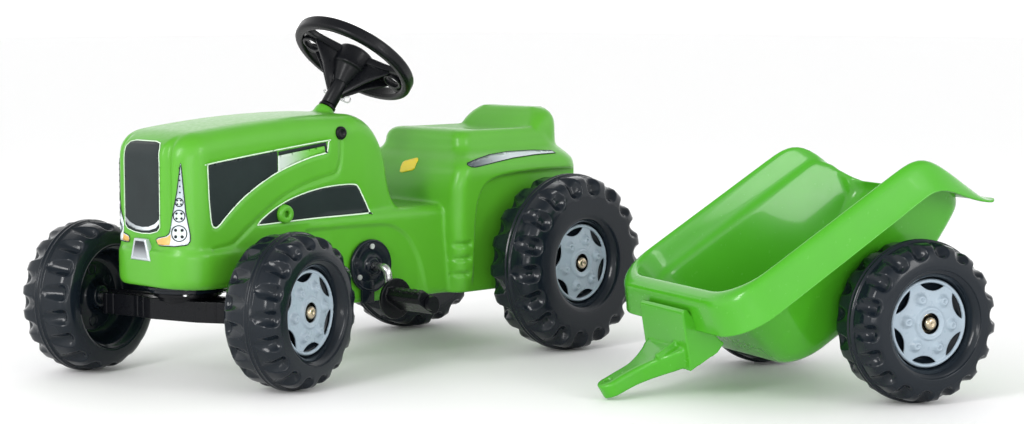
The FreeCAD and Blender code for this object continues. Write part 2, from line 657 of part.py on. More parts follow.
def chain_length(pitch):
    """Length of a chain round both sprockets, whose pitch radii follow from the pitch."""
    big = RING_TEETH * pitch / (2 * math.pi)
    small = SPROCKET_TEETH * pitch / (2 * math.pi)
    span = math.hypot(REAR_Y - CRANK.y, REAR_R - CRANK.z)
    lean = math.asin((big - small) / span)
    return 2 * math.sqrt(span ** 2 - (big - small) ** 2) + math.pi * (big + small) + 2 * lean * (big - small)


def chain_pitch():
    """Pitch at which CHAIN_LINKS links close the loop exactly."""
    low, high = 7.0, 13.0
    for _ in range(60):
        middle = (low + high) / 2
        if chain_length(middle) > CHAIN_LINKS * middle:
            low = middle
        else:
            high = middle
    return middle


PITCH = chain_pitch()
RING_R = RING_TEETH * PITCH / (2 * math.pi)
SPROCKET_R = SPROCKET_TEETH * PITCH / (2 * math.pi)


def chain_route():
    """Tangent points and the middles of both arcs, in the plane X = 0, going round from the ring's top."""
    gap_y, gap_z = REAR_Y - CRANK.y, REAR_R - CRANK.z
    span = math.hypot(gap_y, gap_z)
    along = math.atan2(gap_z, gap_y)
    lean = math.acos((RING_R - SPROCKET_R) / span)
    return along, lean, math.sqrt(span ** 2 - (RING_R - SPROCKET_R) ** 2)


def around(centre_y, centre_z, radius, angle):
    return V(0, centre_y + radius * math.cos(angle), centre_z + radius * math.sin(angle))


def chain_point(distance):
    """Point of the pitch line at a distance along the loop, from the ring's upper tangent point."""
    along, lean, straight = chain_route()
    arc_small = SPROCKET_R * 2 * lean
    top = along + lean
    if distance < straight:
        a, b = around(CRANK.y, CRANK.z, RING_R, top), around(REAR_Y, REAR_R, SPROCKET_R, top)
        return a + (b - a) * (distance / straight)
    distance -= straight
    if distance < arc_small:
        return around(REAR_Y, REAR_R, SPROCKET_R, top - distance / SPROCKET_R)
    distance -= arc_small
    low = along - lean
    if distance < straight:
        a, b = around(REAR_Y, REAR_R, SPROCKET_R, low), around(CRANK.y, CRANK.z, RING_R, low)
        return a + (b - a) * (distance / straight)
    distance -= straight
    return around(CRANK.y, CRANK.z, RING_R, low - distance / RING_R)


def loop_solid(offset, x0, x1):
    """Solid bounded by the pitch line moved outward by offset."""
    along, lean, _ = chain_route()
    big, small = RING_R + offset, SPROCKET_R + offset
    points = []
    for centre, radius, start, end in ((CRANK, big, along + lean, along - lean + 2 * math.pi),
                                       (V(0, REAR_Y, REAR_R), small, along - lean, along + lean)):
        arc = [around(centre.y, centre.z, radius, start + (end - start) * part) for part in (0, 0.5, 1)]
        points.append(arc)
    edges = []
    for arc, following in (points, points[::-1]):
        edges.append(Part.Arc(*arc).toShape())
        edges.append(Part.LineSegment(arc[2], following[0]).toShape())
    face = Part.Face(Part.Wire(edges))
    return moved(face, V(x0, 0, 0)).extrude(V(x1 - x0, 0, 0))


def chain():
    """Two rows of side plates and the cross pins, as one loop."""
    plates = [loop_solid(3.2, x, x + 1.2).cut(loop_solid(-3.2, x - 1, x + 3)) for x in (-4.4, 3.2)]
    pins = []
    for number in range(CHAIN_LINKS):
        p = chain_point(number * PITCH)
        pins.append(rod(V(-3.4, p.y, p.z), V(3.4, p.y, p.z), 1.6))
    return plates[0].multiFuse(plates[1:] + pins)


def toothed(teeth, radius, centre, first_angle):
    """Sprocket disc with a round gap at every chain pin and a hub on the shaft."""
    disc = rod(V(-2.2, 0, 0), V(2.2, 0, 0), radius + 1.4)
    gaps = []
    for number in range(teeth):
        a = first_angle + 2 * math.pi * number / teeth
        middle = V(-4, radius * math.cos(a), radius * math.sin(a))
        gaps.append(rod(middle, middle + X_AXIS * 8, 2.5))
    hub = rod(V(-8, 0, 0), V(8, 0, 0), 12.0)
    wheel = cut(fuse([disc.cut(gaps), hub]), [rod(V(-10, 0, 0), V(10, 0, 0), ROD_R)])
    return moved(wheel, centre)


def chainring():
    along, lean, _ = chain_route()
    return toothed(RING_TEETH, RING_R, CRANK, along + lean)


def rear_sprocket():
    _, lean, straight = chain_route()
    along = chain_route()[0]
    links_before = math.ceil(straight / PITCH)
    first = along + lean - (links_before * PITCH - straight) / SPROCKET_R
    return toothed(SPROCKET_TEETH, SPROCKET_R, V(0, REAR_Y, REAR_R), first)


def chain_case_left():
    """Half of the closed guard round the chain."""
    half = loop_solid(9.5, 0.2, 12.0).cut(loop_solid(7.0, -1.0, 9.6))
    feet = [box(11.0, 30.0, c.y - 10, c.y + 10, BELLY_Z + WALL, 110) for c in (CRANK, V(0, REAR_Y, 0))]
    half = fuse([half] + feet)
    bores = [rod(V(-1, c.y, c.z), V(20, c.y, c.z), r) for c, r in ((CRANK, 12.6), (V(0, REAR_Y, REAR_R), 12.6))]
    return cut(half, bores)


# ---- trailer -------------------------------------------------------------------------------------------------
def parked(shape, pitched=True):
    """Take a trailer part from its own frame to where the trailer stands."""
    here = turned(shape, ORIGIN, X_AXIS, TRAILER_PITCH) if pitched else shape
    return moved(turned(here, ORIGIN, Z_AXIS, TRAILER_YAW), TRAILER_AXLE)


TUB_SECTIONS = ((12, 92, -128, 74), (18, 106, -142, 92), (34, 116, -152, 124), (64, 122, -160, 172),
                (100, 130, -170, 166), (140, 141, -181, 152), (158, 147, -187, 142), (RIM_Z, RIM_W, -191, 118))


def tub_form(inset=0.0, lift=0.0):
    wires = []
    for number, (z, w, y0, y1) in enumerate(TUB_SECTIONS):
        rise = inset if number == 0 else lift if number == len(TUB_SECTIONS) - 1 else 0.0
        wires.append(level(z + rise, w, y0, y1, 40.0, 30.0, inset))
    return loft(wires)


def skirt(inset, foot):
    """Solid under the turned-down rim."""
    return loft([level(RIM_Z - inset, RIM_W + 6 - inset, -203, 110, 50.0, 8.0),
                 level(RIM_Z - 6 - inset, RIM_W + 11 - inset, -210, 112, 54.0, 8.0),
                 level(foot, SKIRT_W - inset, -222 + inset, 118, 58.0, 8.0)])


def ear(side):
    """Strip of rim that drops from the side's crest to the low tail edge."""
    path = [(110, 168), (128, 164), (142, 153), (152, 138), (168, 100), (184, 65)]
    lower = [(y - 2.0 * TUB_WALL, z - TUB_WALL) for y, z in path]
    strip = prism_x(path + lower[::-1], 124.0, SKIRT_W - 2)
    cheek = prism_x(path + [(162, 74), (141, 102), (133, 118), (114, SKIRT_Z), (110, SKIRT_Z)], SKIRT_W - 5, SKIRT_W - 2)
    whole = fuse([strip, cheek])
    return whole if side > 0 else mirrored(whole)


def trailer_tub():
    """Open tub with a turned-down rim, a low scooped tail and two ribs that carry the axle."""
    walls = tub_form().cut(tub_form(TUB_WALL, 2.0))
    tail_opening = box(-118, 118, 100, 300, 66, 200)
    walls = walls.cut(tail_opening)
    rim = skirt(0.0, SKIRT_Z).cut([skirt(TUB_WALL, SKIRT_Z - 2), tub_form(TUB_WALL, 2.0)])
    tail_lip = box(-126, 126, 168, 190, 62, 66)
    ribs = [box(side * 70 - 4, side * 70 + 4, -16, 16, -12, 14) for side in (-1, 1)]
    whole = fuse([walls, rim, ear(1), ear(-1), tail_lip] + ribs)
    bores = [rod(V(-150, 0, 0), V(150, 0, 0), ROD_R + RUN)]
    bores += [rod(p - DRAWBAR_OUT * 5, p + DRAWBAR_OUT * 8, 2.1) for p in DRAWBAR_SCREWS]
    return parked(cut(whole, bores))


DRAWBAR_SCREWS = [V(x, -215.0, 135) for x in (-36, 36)]   # heads behind the skirt, out of sight
DRAWBAR_OUT = V(0, -0.9578, 0.2873)  # square to the skirt's front


def drawbar():
    """Bracket under the tub's front rim that tapers forward to the towing eye."""
    block = prism_x([(-197, 79), (-255, 80), (-226, 152), (-216, 160), (-196, 160)], -58, 58)
    hollow = prism_x([(-190, 70), (-247, 72), (-221, 148), (-190, 152)], -54, 54)
    bracket = block.cut(hollow)
    top = [V(x, y, z) for x, y, z in ((-30, -238, 108), (30, -238, 108), (14, -330, 117), (-14, -330, 117))]
    low = [V(x, y, z) for x, y, z in ((-30, -250, 84), (30, -250, 84), (14, -330, 92), (-14, -330, 92))]
    quads = [top, low] + [[top[i], top[(i + 1) % 4], low[(i + 1) % 4], low[i]] for i in range(4)]
    faces = [Part.Face(Part.makePolygon(q + q[:1])) for q in quads[:2]]
    faces += [Part.makeRuledSurface(Part.makeLine(q[0], q[1]), Part.makeLine(q[3], q[2])) for q in quads[2:]]
    bar = Part.Solid(Part.Shell(faces))
    tip = rod(V(0, EYE_Y, 94.5), V(0, EYE_Y, 117.5), 15.0)
    whole = fuse([bracket, bar, tip])
    bores = [rod(V(0, EYE_Y, 60), V(0, EYE_Y, 140), EYE_R)]
    bores += [rod(p, p + DRAWBAR_OUT * 14.2, 2.1) for p in DRAWBAR_SCREWS]
    return parked(cut(whole, bores + [tub_form(), skirt(0.0, SKIRT_Z)]))


def drawbar_screws():
    return parked(Part.makeCompound([screw(p, DRAWBAR_OUT, 14.0) for p in DRAWBAR_SCREWS]))


# ---- the whole set ---------------------------------------------------------------------------------------------
def tractor_nodes():
    skin = grown_bonnet()
    nodes = {
        "body_shell": body_shell(),
        "grille_sticker": grille_sticker(skin),
        "nose_badge": nose_badge(),
        "headlight_stickers": headlight_stickers(skin),
        "bonnet_side_stickers": bonnet_side_stickers(skin),
        "lower_side_stickers": lower_side_stickers(skin),
        "fender_stickers": fender_stickers(),
        "seat_label": seat_label(),
        "side_plugs": side_plugs(),
        "accessory_bosses": accessory_bosses(),
        "steering_upper_bush": steering_upper_bush(),
        "steering_lower_bracket": steering_lower_bracket(),
        "turntable_disc": turntable_disc(),
        "turntable_screws": turntable_screws(),
        "kingpin": kingpin(),
        "kingpin_nut": kingpin_nut(),
        "crank_bearing_left": crank_bearing(),
        "crank_bearing_right": mirrored(crank_bearing()),
        "bearing_screws": bearing_screws(),
        "chain_case_left": chain_case_left(),
        "chain_case_right": mirrored(chain_case_left()),
        "chain": chain(),
        "rear_bearing_left": rear_bearing(),
        "rear_bearing_right": mirrored(rear_bearing()),
        "tow_hitch": tow_hitch(),
        "tow_hitch_screws": tow_hitch_screws(),
        "hitch_pin": hitch_pin(),
        "steering_wheel": steering_wheel(),
        "steering_rod": steering_rod(),
        "column_clip": column_clip(),
        "front_axle_bridge": front_axle_bridge(),
        "crank_rod": crank_rod(),
        "chainring": chainring(),
        "pedal_left": pedal(1),
        "pedal_right": pedal(-1),
        "pedal_clips": pedal_clips(),
        "rear_sprocket": rear_sprocket(),
    }
    front, rear = V(0, FRONT_Y, FRONT_R), V(0, REAR_Y, REAR_R)
    nodes["front_axle_rod"] = axled(axle_rod(TRACK + AXLE_OUT, front))
    nodes["front_push_nuts"] = axled(nut_pair(TRACK + AXLE_OUT, front))
    nodes["rear_axle_rod"] = axle_rod(TRACK + AXLE_OUT, rear)
    nodes["rear_push_nuts"] = nut_pair(TRACK + AXLE_OUT, rear)
    small, large, cap = tyre(FRONT_R), tyre(REAR_R), wheel_cap()
    for name, side in (("left", 1), ("right", -1)):
        step = X_AXIS * (side * TRACK)
        nodes["front_tyre_" + name] = axled(placed_wheel(small, side, front + step))
        nodes["front_cap_" + name] = axled(placed_wheel(cap, side, front + step))
        nodes["rear_tyre_" + name] = placed_wheel(large, side, rear + step)
        nodes["rear_cap_" + name] = placed_wheel(cap, side, rear + step)
    return nodes


def trailer_nodes():
    nodes = {"trailer_tub": trailer_tub(), "drawbar": drawbar(), "drawbar_screws": drawbar_screws()}
    nodes["trailer_axle_rod"] = parked(axle_rod(TRAILER_TRACK + AXLE_OUT, ORIGIN))
    nodes["trailer_push_nuts"] = parked(nut_pair(TRAILER_TRACK + AXLE_OUT, ORIGIN))
    wheel, cap = tyre(FRONT_R), wheel_cap()
    for name, side in (("left", 1), ("right", -1)):
        step = X_AXIS * (side * TRAILER_TRACK)
        nodes["trailer_tyre_" + name] = parked(placed_wheel(wheel, side, step))
        nodes["trailer_cap_" + name] = parked(placed_wheel(cap, side, step))
    return nodes


def main():
    os.makedirs("parts", exist_ok=True)
    nodes = tractor_nodes()
    nodes.update(trailer_nodes())
    for name, shape in nodes.items():
        here = moved(shape, SET_ORIGIN * -1)
        here.exportStep("parts/" + name + ".step")
        box_ = here.BoundBox
        state = "ok" if here.isValid() and here.Solids else "BAD"
        print(f"{name:26s} {state} solids {len(here.Solids)} volume {here.Volume / 1000:8.1f} cm3 "
              f"x {box_.XMin:7.1f} {box_.XMax:7.1f} y {box_.YMin:7.1f} {box_.YMax:7.1f} z {box_.ZMin:6.1f} {box_.ZMax:6.1f}")


main()
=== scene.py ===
"""Pedal tractor with a tipping trailer: the detailed visual model on the CAD frame.

Lengths are in millimetres in the tractor's own coordinates (X = 0 is its centreline, forward is -Y,
+X is the rider's left, the floor is Z = 0). place() turns them into metres in the set's frame.
"""
import json
import math

import bmesh
import bpy
import numpy as np
from mathutils import Matrix, Vector, geometry
from mathutils.bvhtree import BVHTree


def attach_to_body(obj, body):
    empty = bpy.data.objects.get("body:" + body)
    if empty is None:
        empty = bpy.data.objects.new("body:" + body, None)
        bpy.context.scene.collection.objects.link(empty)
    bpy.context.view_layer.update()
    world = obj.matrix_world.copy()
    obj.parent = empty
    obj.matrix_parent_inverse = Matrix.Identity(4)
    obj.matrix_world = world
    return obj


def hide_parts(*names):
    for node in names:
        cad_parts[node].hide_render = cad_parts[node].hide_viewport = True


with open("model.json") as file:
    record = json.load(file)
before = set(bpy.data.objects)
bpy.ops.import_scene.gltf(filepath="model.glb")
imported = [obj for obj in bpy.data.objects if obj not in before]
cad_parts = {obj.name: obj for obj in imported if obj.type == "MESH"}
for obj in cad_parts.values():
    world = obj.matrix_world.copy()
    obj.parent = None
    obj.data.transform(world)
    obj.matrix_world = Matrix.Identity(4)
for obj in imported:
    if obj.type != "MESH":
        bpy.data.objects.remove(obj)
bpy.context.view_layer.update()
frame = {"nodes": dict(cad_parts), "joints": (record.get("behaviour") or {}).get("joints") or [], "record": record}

# ---- sizes shared with the CAD model, millimetres ------------------------------------------------
FRONT_Y, REAR_Y = -282.0, 282.0
FRONT_R, REAR_R = 105.0, 130.0
TRACK, TRAILER_TRACK = 175.0, 185.0
CAP_R = 57.0
STEER = 15.0
COLUMN_TILT = 37.5
WHEEL_TURN = STEER / 0.352
HUB = np.array([0.0, 20.2, 430.8])
RIM_R = 92.3
CRANK = np.array([0.0, -31.0, 142.0])
CRANK_THROW, CRANK_ANGLE, PEDAL_TILT = 43.0, 8.0, -32.0
ARM_X, PEDAL_X = 124.0, (133.0, 203.0)
LOWER_W = 88.0
FLOOR_Z = 131.0
BELLY_Z, SADDLE_Z, BACKREST_TOP = 90.0, 219.0, 353.0
BOSS_AT, PLUG_AT = (-178.5, 224.0), (-78.0, 330.0)
EYE_AT, JAW_PIN_Y = 337.0, 448.0
TRAILER_AXLE = np.array([630.9, 328.3, 105.0])
TRAILER_YAW, TRAILER_PITCH = -20.07, 31.72

JOINT_AT = {j["name"]: np.array(j.get("pos_m", (0, 0, 0)), float) * 1000 for j in frame["joints"]}
SHIFT = JOINT_AT["front_axle_steer"] - np.array([0.0, FRONT_Y, FRONT_R])


# ---- placing ---------------------------------------------------------------------------------------
def rot(axis, degrees):
    return np.array(Matrix.Rotation(math.radians(degrees), 3, axis))


def place(points):
    return (np.asarray(points, float) + SHIFT) * 0.001


def on_trailer(points, pitched=True):
    p = np.asarray(points, float)
    if pitched:
        p = p @ rot("X", TRAILER_PITCH).T
    return p @ rot("Z", TRAILER_YAW).T + TRAILER_AXLE


def on_axle(points):
    """From straight ahead, about the kingpin, to the angle at which the axle stands."""
    pivot = np.array([0.0, FRONT_Y, 0.0])
    return (np.asarray(points, float) - pivot) @ rot("Z", STEER).T + pivot


def on_column(points):
    """From the steering wheel's own frame (origin at the hub, +Z up the column)."""
    p = np.asarray(points, float) @ rot("Z", WHEEL_TURN).T
    return p @ rot("X", -COLUMN_TILT).T + HUB


# ---- mesh tools ------------------------------------------------------------------------------------
def spline(xs, ys, x):
    """Monotone cubic through the points (xs, ys)."""
    xs, ys, x = np.asarray(xs, float), np.asarray(ys, float), np.asarray(x, float)
    h, d = np.diff(xs), np.diff(ys) / np.diff(xs)
    slope = np.zeros(len(xs))
    slope[0], slope[-1] = d[0], d[-1]
    for i in range(1, len(xs) - 1):
        if d[i - 1] * d[i] > 0:
            slope[i] = 2 * d[i - 1] * d[i] / (d[i - 1] + d[i])
    k = np.clip(np.searchsorted(xs, x) - 1, 0, len(xs) - 2)
    t = np.clip((x - xs[k]) / h[k], 0, 1)
    return ((2 * t ** 3 - 3 * t ** 2 + 1) * ys[k] + (t ** 3 - 2 * t ** 2 + t) * h[k] * slope[k]
            + (3 * t ** 2 - 2 * t ** 3) * ys[k + 1] + (t ** 3 - t ** 2) * h[k] * slope[k + 1])


def smoothstep(x, lo=0.0, hi=1.0):
    t = np.clip((x - lo) / (hi - lo), 0, 1)
    return t * t * (3 - 2 * t)


def curve_through(points, count):
    """Catmull-Rom curve through points, resampled to count evenly spaced points."""
    p = np.asarray(points, float)
    padded = np.vstack([2 * p[0] - p[1], p, 2 * p[-1] - p[-2]])
    t = np.linspace(0, 1, 12, endpoint=False)[:, None]
    out = []
    for a, b, c, d in zip(padded, padded[1:], padded[2:], padded[3:]):
        out.append(0.5 * (2 * b + (c - a) * t + (2 * a - 5 * b + 4 * c - d) * t ** 2
                          + (3 * b - a - 3 * c + d) * t ** 3))
    return resample(np.vstack(out + [p[-1:]]), count)


def resample(points, count, closed=False):
    p = np.asarray(points, float)
    if closed:
        p = np.vstack([p, p[:1]])
    run = np.concatenate([[0], np.cumsum(np.linalg.norm(np.diff(p, axis=0), axis=1))])
    want = np.linspace(0, run[-1], count, endpoint=not closed)
    return np.stack([np.interp(want, run, p[:, i]) for i in range(p.shape[1])], 1)


def grid_faces(rows, cols, close_rows=False, close_cols=False):
    r = np.arange(rows if close_rows else rows - 1)
    c = np.arange(cols if close_cols else cols - 1)
    R, C = np.meshgrid(r, c, indexing="ij")
    R2, C2 = (R + 1) % rows, (C + 1) % cols
    return np.stack([R * cols + C, R * cols + C2, R2 * cols + C2, R2 * cols + C], -1).reshape(-1, 4)


def rounded_rect(u0, u1, v0, v1, radii, per_corner=8, per_side=6):
    """Closed outline of a rectangle; radii for the corners (u1,v0), (u1,v1), (u0,v1), (u0,v0)."""
    corners = ((u1, v0, -90), (u1, v1, 0), (u0, v1, 90), (u0, v0, 180))
    arcs = []
    for (u, v, start), r in zip(corners, radii):
        cu, cv = (u - r if u == u1 else u + r), (v + r if v == v0 else v - r)
        a = np.radians(start + np.linspace(0, 90, per_corner))
        arcs.append(np.stack([cu + r * np.cos(a), cv + r * np.sin(a)], 1))
    out = []
    for i, arc in enumerate(arcs):
        nxt = arcs[(i + 1) % 4][0]
        side = np.linspace(0, 1, per_side + 1, endpoint=False)[1:, None]
        out += [arc, arc[-1] + (nxt - arc[-1]) * side]
    return np.vstack(out)


def loft(sections):
    """Closed solid through rings of equal length: (vertices, faces)."""
    rows, cols = len(sections), len(sections[0])
    verts = np.vstack(sections + [sections[0].mean(0), sections[-1].mean(0)])
    faces = [list(f) for f in grid_faces(rows, cols, close_cols=True)]
    last = (rows - 1) * cols
    for c in range(cols):
        n = (c + 1) % cols
        faces.append([n, c, rows * cols])
        faces.append([last + c, last + n, rows * cols + 1])
    return verts, faces


def join(parts):
    verts, faces, base = [], [], 0
    for v, f in parts:
        verts.append(np.asarray(v, float))
        faces += [[int(i) + base for i in face] for face in f]
        base += len(v)
    return np.vstack(verts), faces


def tube(path, radius, sides=12, closed=False, caps=True):
    """Round tube along a path; radius may be one number or one per point."""
    p = np.asarray(path, float)
    n = len(p)
    radii = np.full(n, radius, float) if np.isscalar(radius) else np.asarray(radius, float)
    ahead, behind = np.roll(p, -1, 0), np.roll(p, 1, 0)
    if not closed:
        ahead[-1], behind[0] = p[-1], p[0]
    tangent = ahead - behind
    tangent /= np.linalg.norm(tangent, axis=1)[:, None]
    side = np.cross(tangent[0], [0.12, 0.31, 0.94])
    side /= np.linalg.norm(side)
    rings, a = [], np.linspace(0, 2 * np.pi, sides, endpoint=False)[:, None]
    for q, t, r in zip(p, tangent, radii):
        side = side - t * side.dot(t)
        side /= np.linalg.norm(side)
        rings.append(q + r * (np.cos(a) * side + np.sin(a) * np.cross(t, side)))
    if closed:
        return np.vstack(rings), grid_faces(n, sides, close_rows=True, close_cols=True)
    if caps:
        return loft(rings)
    return np.vstack(rings), grid_faces(n, sides, close_cols=True)


def revolve(profile, count=64, closed_profile=False):
    """Surface of revolution about +X from (x, r) points."""
    p = np.asarray(profile, float)
    a = np.linspace(0, 2 * np.pi, count, endpoint=False)
    x = np.repeat(p[:, :1], count, 1)
    verts = np.stack([x, p[:, 1:2] * np.cos(a), p[:, 1:2] * np.sin(a)], -1).reshape(-1, 3)
    return verts, grid_faces(len(p), count, close_rows=closed_profile, close_cols=True)


def upright(points):
    """Stand a revolved surface on end: its +X axis becomes +Z."""
    return np.column_stack([points[:, 1], points[:, 2], points[:, 0]])


def box_mesh(lo, hi):
    lo, hi = np.asarray(lo, float), np.asarray(hi, float)
    verts = [[(lo, hi)[i][0], (lo, hi)[j][1], (lo, hi)[k][2]] for i in (0, 1) for j in (0, 1) for k in (0, 1)]
    return np.array(verts), [[0, 1, 3, 2], [4, 6, 7, 5], [0, 4, 5, 1], [2, 3, 7, 6], [0, 2, 6, 4],
                             [1, 5, 7, 3]]


def inside(points, outline):
    """Which 2-D points lie in a closed outline."""
    x, y = points[:, 0], points[:, 1]
    hit = np.zeros(len(points), bool)
    for (x0, y0), (x1, y1) in zip(outline, np.roll(outline, -1, 0)):
        crosses = (y0 > y) != (y1 > y)
        with np.errstate(divide="ignore", invalid="ignore"):
            hit ^= crosses & (x < (x1 - x0) * (y - y0) / (y1 - y0) + x0)
    return hit


def line_distance(points, line, closed=False):
    """Distance of 2-D points from a polyline."""
    line = np.asarray(line, float)
    ends = np.roll(line, -1, 0) if closed else line[1:]
    starts = line if closed else line[:-1]
    best = np.full(len(points), 1e9)
    for a, b in zip(starts, ends):
        ab = b - a
        t = np.clip(((points - a) @ ab) / max(ab @ ab, 1e-9), 0, 1)
        best = np.minimum(best, np.linalg.norm(points - a - t[:, None] * ab, axis=1))
    return best


def flat_plate(outline, holes=(), step=4.0):
    """Triangulated 2-D plate with holes and a grid of inner points: (points, triangles)."""
    outline = np.asarray(outline, float)
    rings = [outline] + [np.asarray(h, float) for h in holes]
    points, edges = [], []
    for ring in rings:
        base = len(points)
        points += ring.tolist()
        edges += [(base + i, base + (i + 1) % len(ring)) for i in range(len(ring))]
    lo, hi = outline.min(0), outline.max(0)
    gx, gy = np.meshgrid(np.arange(lo[0], hi[0], step), np.arange(lo[1], hi[1], step))
    inner = np.stack([gx.ravel(), gy.ravel()], 1)
    keep = inside(inner, outline) & (line_distance(inner, outline, True) > step * 0.45)
    for h in rings[1:]:
        keep &= ~inside(inner, h) & (line_distance(inner, h, True) > step * 0.45)
    points += inner[keep].tolist()
    got = geometry.delaunay_2d_cdt([Vector(p) for p in points], edges, [], 0, 1e-5, False)
    flat = np.array([[v.x, v.y] for v in got[0]])
    tris = np.array([list(f) for f in got[2] if len(f) == 3])
    middle = flat[tris].mean(1)
    keep = inside(middle, outline)
    for h in rings[1:]:
        keep &= ~inside(middle, h)
    return flat, tris[keep]


def circle2(cx, cy, r, count=32):
    a = np.linspace(0, 2 * np.pi, count, endpoint=False)
    return np.stack([cx + r * np.cos(a), cy + r * np.sin(a)], 1)


def make(name, mesh, material, body=None, nodes=(), smooth=True):
    """Object from (vertices in mm, faces), riding on a body and standing for CAD nodes."""
    verts, faces = mesh
    data = bpy.data.meshes.new(name)
    data.from_pydata(place(verts).tolist(), [], [list(map(int, f)) for f in faces])
    data.validate()
    data.materials.append(material)
    obj = bpy.data.objects.new(name, data)
    bpy.context.scene.collection.objects.link(obj)
    bm = bmesh.new()
    bm.from_mesh(data)
    bmesh.ops.recalc_face_normals(bm, faces=bm.faces)
    bm.to_mesh(data)
    bm.free()
    for polygon in data.polygons:
        polygon.use_smooth = smooth
    if body:
        attach(obj, body, nodes)
    return obj


def attach(obj, body, nodes=()):
    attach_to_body(obj, body)
    if nodes:
        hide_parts(*nodes)


def modify(obj, kind, **settings):
    """Add a modifier and apply it at once."""
    modifier = obj.modifiers.new(kind.lower(), kind)
    for key, value in settings.items():
        setattr(modifier, key, value)
    bpy.context.view_layer.update()
    graph = bpy.context.evaluated_depsgraph_get()
    data = bpy.data.meshes.new_from_object(obj.evaluated_get(graph))
    old = obj.data
    obj.modifiers.clear()
    obj.data = data
    bpy.data.meshes.remove(old)
    return obj


def shade_smooth(obj):
    for polygon in obj.data.polygons:
        polygon.use_smooth = True


def soften(obj, width, angle=35.0, segments=2):
    """Round the sharp edges by width mm and keep them crisp in shading."""
    modify(obj, "BEVEL", width=width * 0.001, segments=segments, limit_method="ANGLE",
           angle_limit=math.radians(angle), harden_normals=False)
    shade_smooth(obj)
    return obj


def coords(obj):
    co = np.zeros(len(obj.data.vertices) * 3, np.float32)
    obj.data.vertices.foreach_get("co", co)
    return co.reshape(-1, 3).astype(float) * 1000 - SHIFT


def set_coords(obj, points):
    obj.data.vertices.foreach_set("co", place(points).astype(np.float32).ravel())
    obj.data.update()


def normals(obj):
    no = np.zeros(len(obj.data.vertices) * 3, np.float32)
    obj.data.vertices.foreach_get("normal", no)
    return no.reshape(-1, 3).astype(float)


# ---- materials -------------------------------------------------------------------------------------
def shader(name, color, rough, spec=0.5, coat=0.0, coat_rough=0.1, metal=0.0, bump=0.0, grain=0.8,
           mottle=0.0, fine=0.0, fine_grain=0.2):
    """Principled material with noise in its bump, roughness and tone; grain in millimetres."""
    m = bpy.data.materials.new(name)
    m.use_nodes = True
    nodes, links = m.node_tree.nodes, m.node_tree.links
    b = nodes["Principled BSDF"]
    b.inputs["Base Color"].default_value = (*color, 1)
    b.inputs["Roughness"].default_value = rough
    b.inputs["Specular IOR Level"].default_value = spec
    b.inputs["Coat Weight"].default_value = coat
    b.inputs["Coat Roughness"].default_value = coat_rough
    b.inputs["Metallic"].default_value = metal
    place_node = nodes.new("ShaderNodeTexCoord")

    def noise(size_mm, detail=2.0):
        n = nodes.new("ShaderNodeTexNoise")
        n.inputs["Scale"].default_value = 1000.0 / size_mm
        n.inputs["Detail"].default_value = detail
        links.new(place_node.outputs["Object"], n.inputs["Vector"])
        return n

    if mottle:
        n = noise(38.0, 3.0)
        ramp = nodes.new("ShaderNodeMapRange")
        ramp.inputs["From Min"].default_value, ramp.inputs["From Max"].default_value = 0.3, 0.7
        ramp.inputs["To Min"].default_value, ramp.inputs["To Max"].default_value = 1 - mottle, 1 + mottle
        links.new(n.outputs["Fac"], ramp.inputs["Value"])
        scale = nodes.new("ShaderNodeVectorMath")
        scale.operation = "SCALE"
        scale.inputs[0].default_value = color
        links.new(ramp.outputs["Result"], scale.inputs["Scale"])
        links.new(scale.outputs["Vector"], b.inputs["Base Color"])
    n = noise(6.0, 4.0)
    ramp = nodes.new("ShaderNodeMapRange")
    ramp.inputs["From Min"].default_value, ramp.inputs["From Max"].default_value = 0.3, 0.7
    ramp.inputs["To Min"].default_value, ramp.inputs["To Max"].default_value = rough * 0.85, rough * 1.15
    links.new(n.outputs["Fac"], ramp.inputs["Value"])
    links.new(ramp.outputs["Result"], b.inputs["Roughness"])
    last = None
    for strength, size in ((bump, grain), (fine, fine_grain)):
        if strength:
            bn = nodes.new("ShaderNodeBump")
            bn.inputs["Strength"].default_value = strength
            bn.inputs["Distance"].default_value = 0.0002
            links.new(noise(size).outputs["Fac"], bn.inputs["Height"])
            if last:
                links.new(last.outputs["Normal"], bn.inputs["Normal"])
            last = bn
    if last:
        links.new(last.outputs["Normal"], b.inputs["Normal"])
    return m


GREEN = shader("green_body", (0.080, 0.335, 0.018), 0.34, spec=0.30, coat=0.14, coat_rough=0.18, bump=0.10,
               grain=14.0, mottle=0.02, fine=0.04, fine_grain=0.9)
GREEN_GLOSS = shader("green_trailer", (0.058, 0.335, 0.013), 0.24, spec=0.30, coat=0.26, coat_rough=0.05,
                     bump=0.05,
                     grain=22.0, mottle=0.02)
# Near-black plastic: the black is its own colour; the blue tint in the base colour is painted sheen.
BLACK_WHEEL = shader("black_wheel", (0.006, 0.0095, 0.014), 0.17, spec=0.24, coat=0.04, coat_rough=0.06,
                     bump=0.03,
                     grain=9.0)
BLACK = shader("black_plastic", (0.004, 0.0045, 0.006), 0.30, spec=0.17, bump=0.12, grain=0.9)
CAP_GREY = shader("cap_grey", (0.30, 0.37, 0.43), 0.30, spec=0.4, coat=0.12, coat_rough=0.2, bump=0.08,
                  grain=3.0)
STEEL = shader("steel", (0.55, 0.55, 0.56), 0.28, metal=1.0, bump=0.15, grain=1.2, mottle=0.06)
NUT = shader("nut_brassy", (0.50, 0.42, 0.30), 0.22, metal=1.0, bump=0.2, grain=1.0, mottle=0.2)
FILM_DARK = shader("film_dark", (0.012, 0.019, 0.020), 0.34, spec=0.20, bump=0.25, grain=0.7, mottle=0.12)
FILM_SILVER = shader("film_silver", (0.46, 0.50, 0.52), 0.32, metal=0.35, bump=0.05, grain=0.8, mottle=0.08)
FILM_PALE = shader("film_pale", (0.62, 0.78, 0.60), 0.35, bump=0.05, grain=0.8)
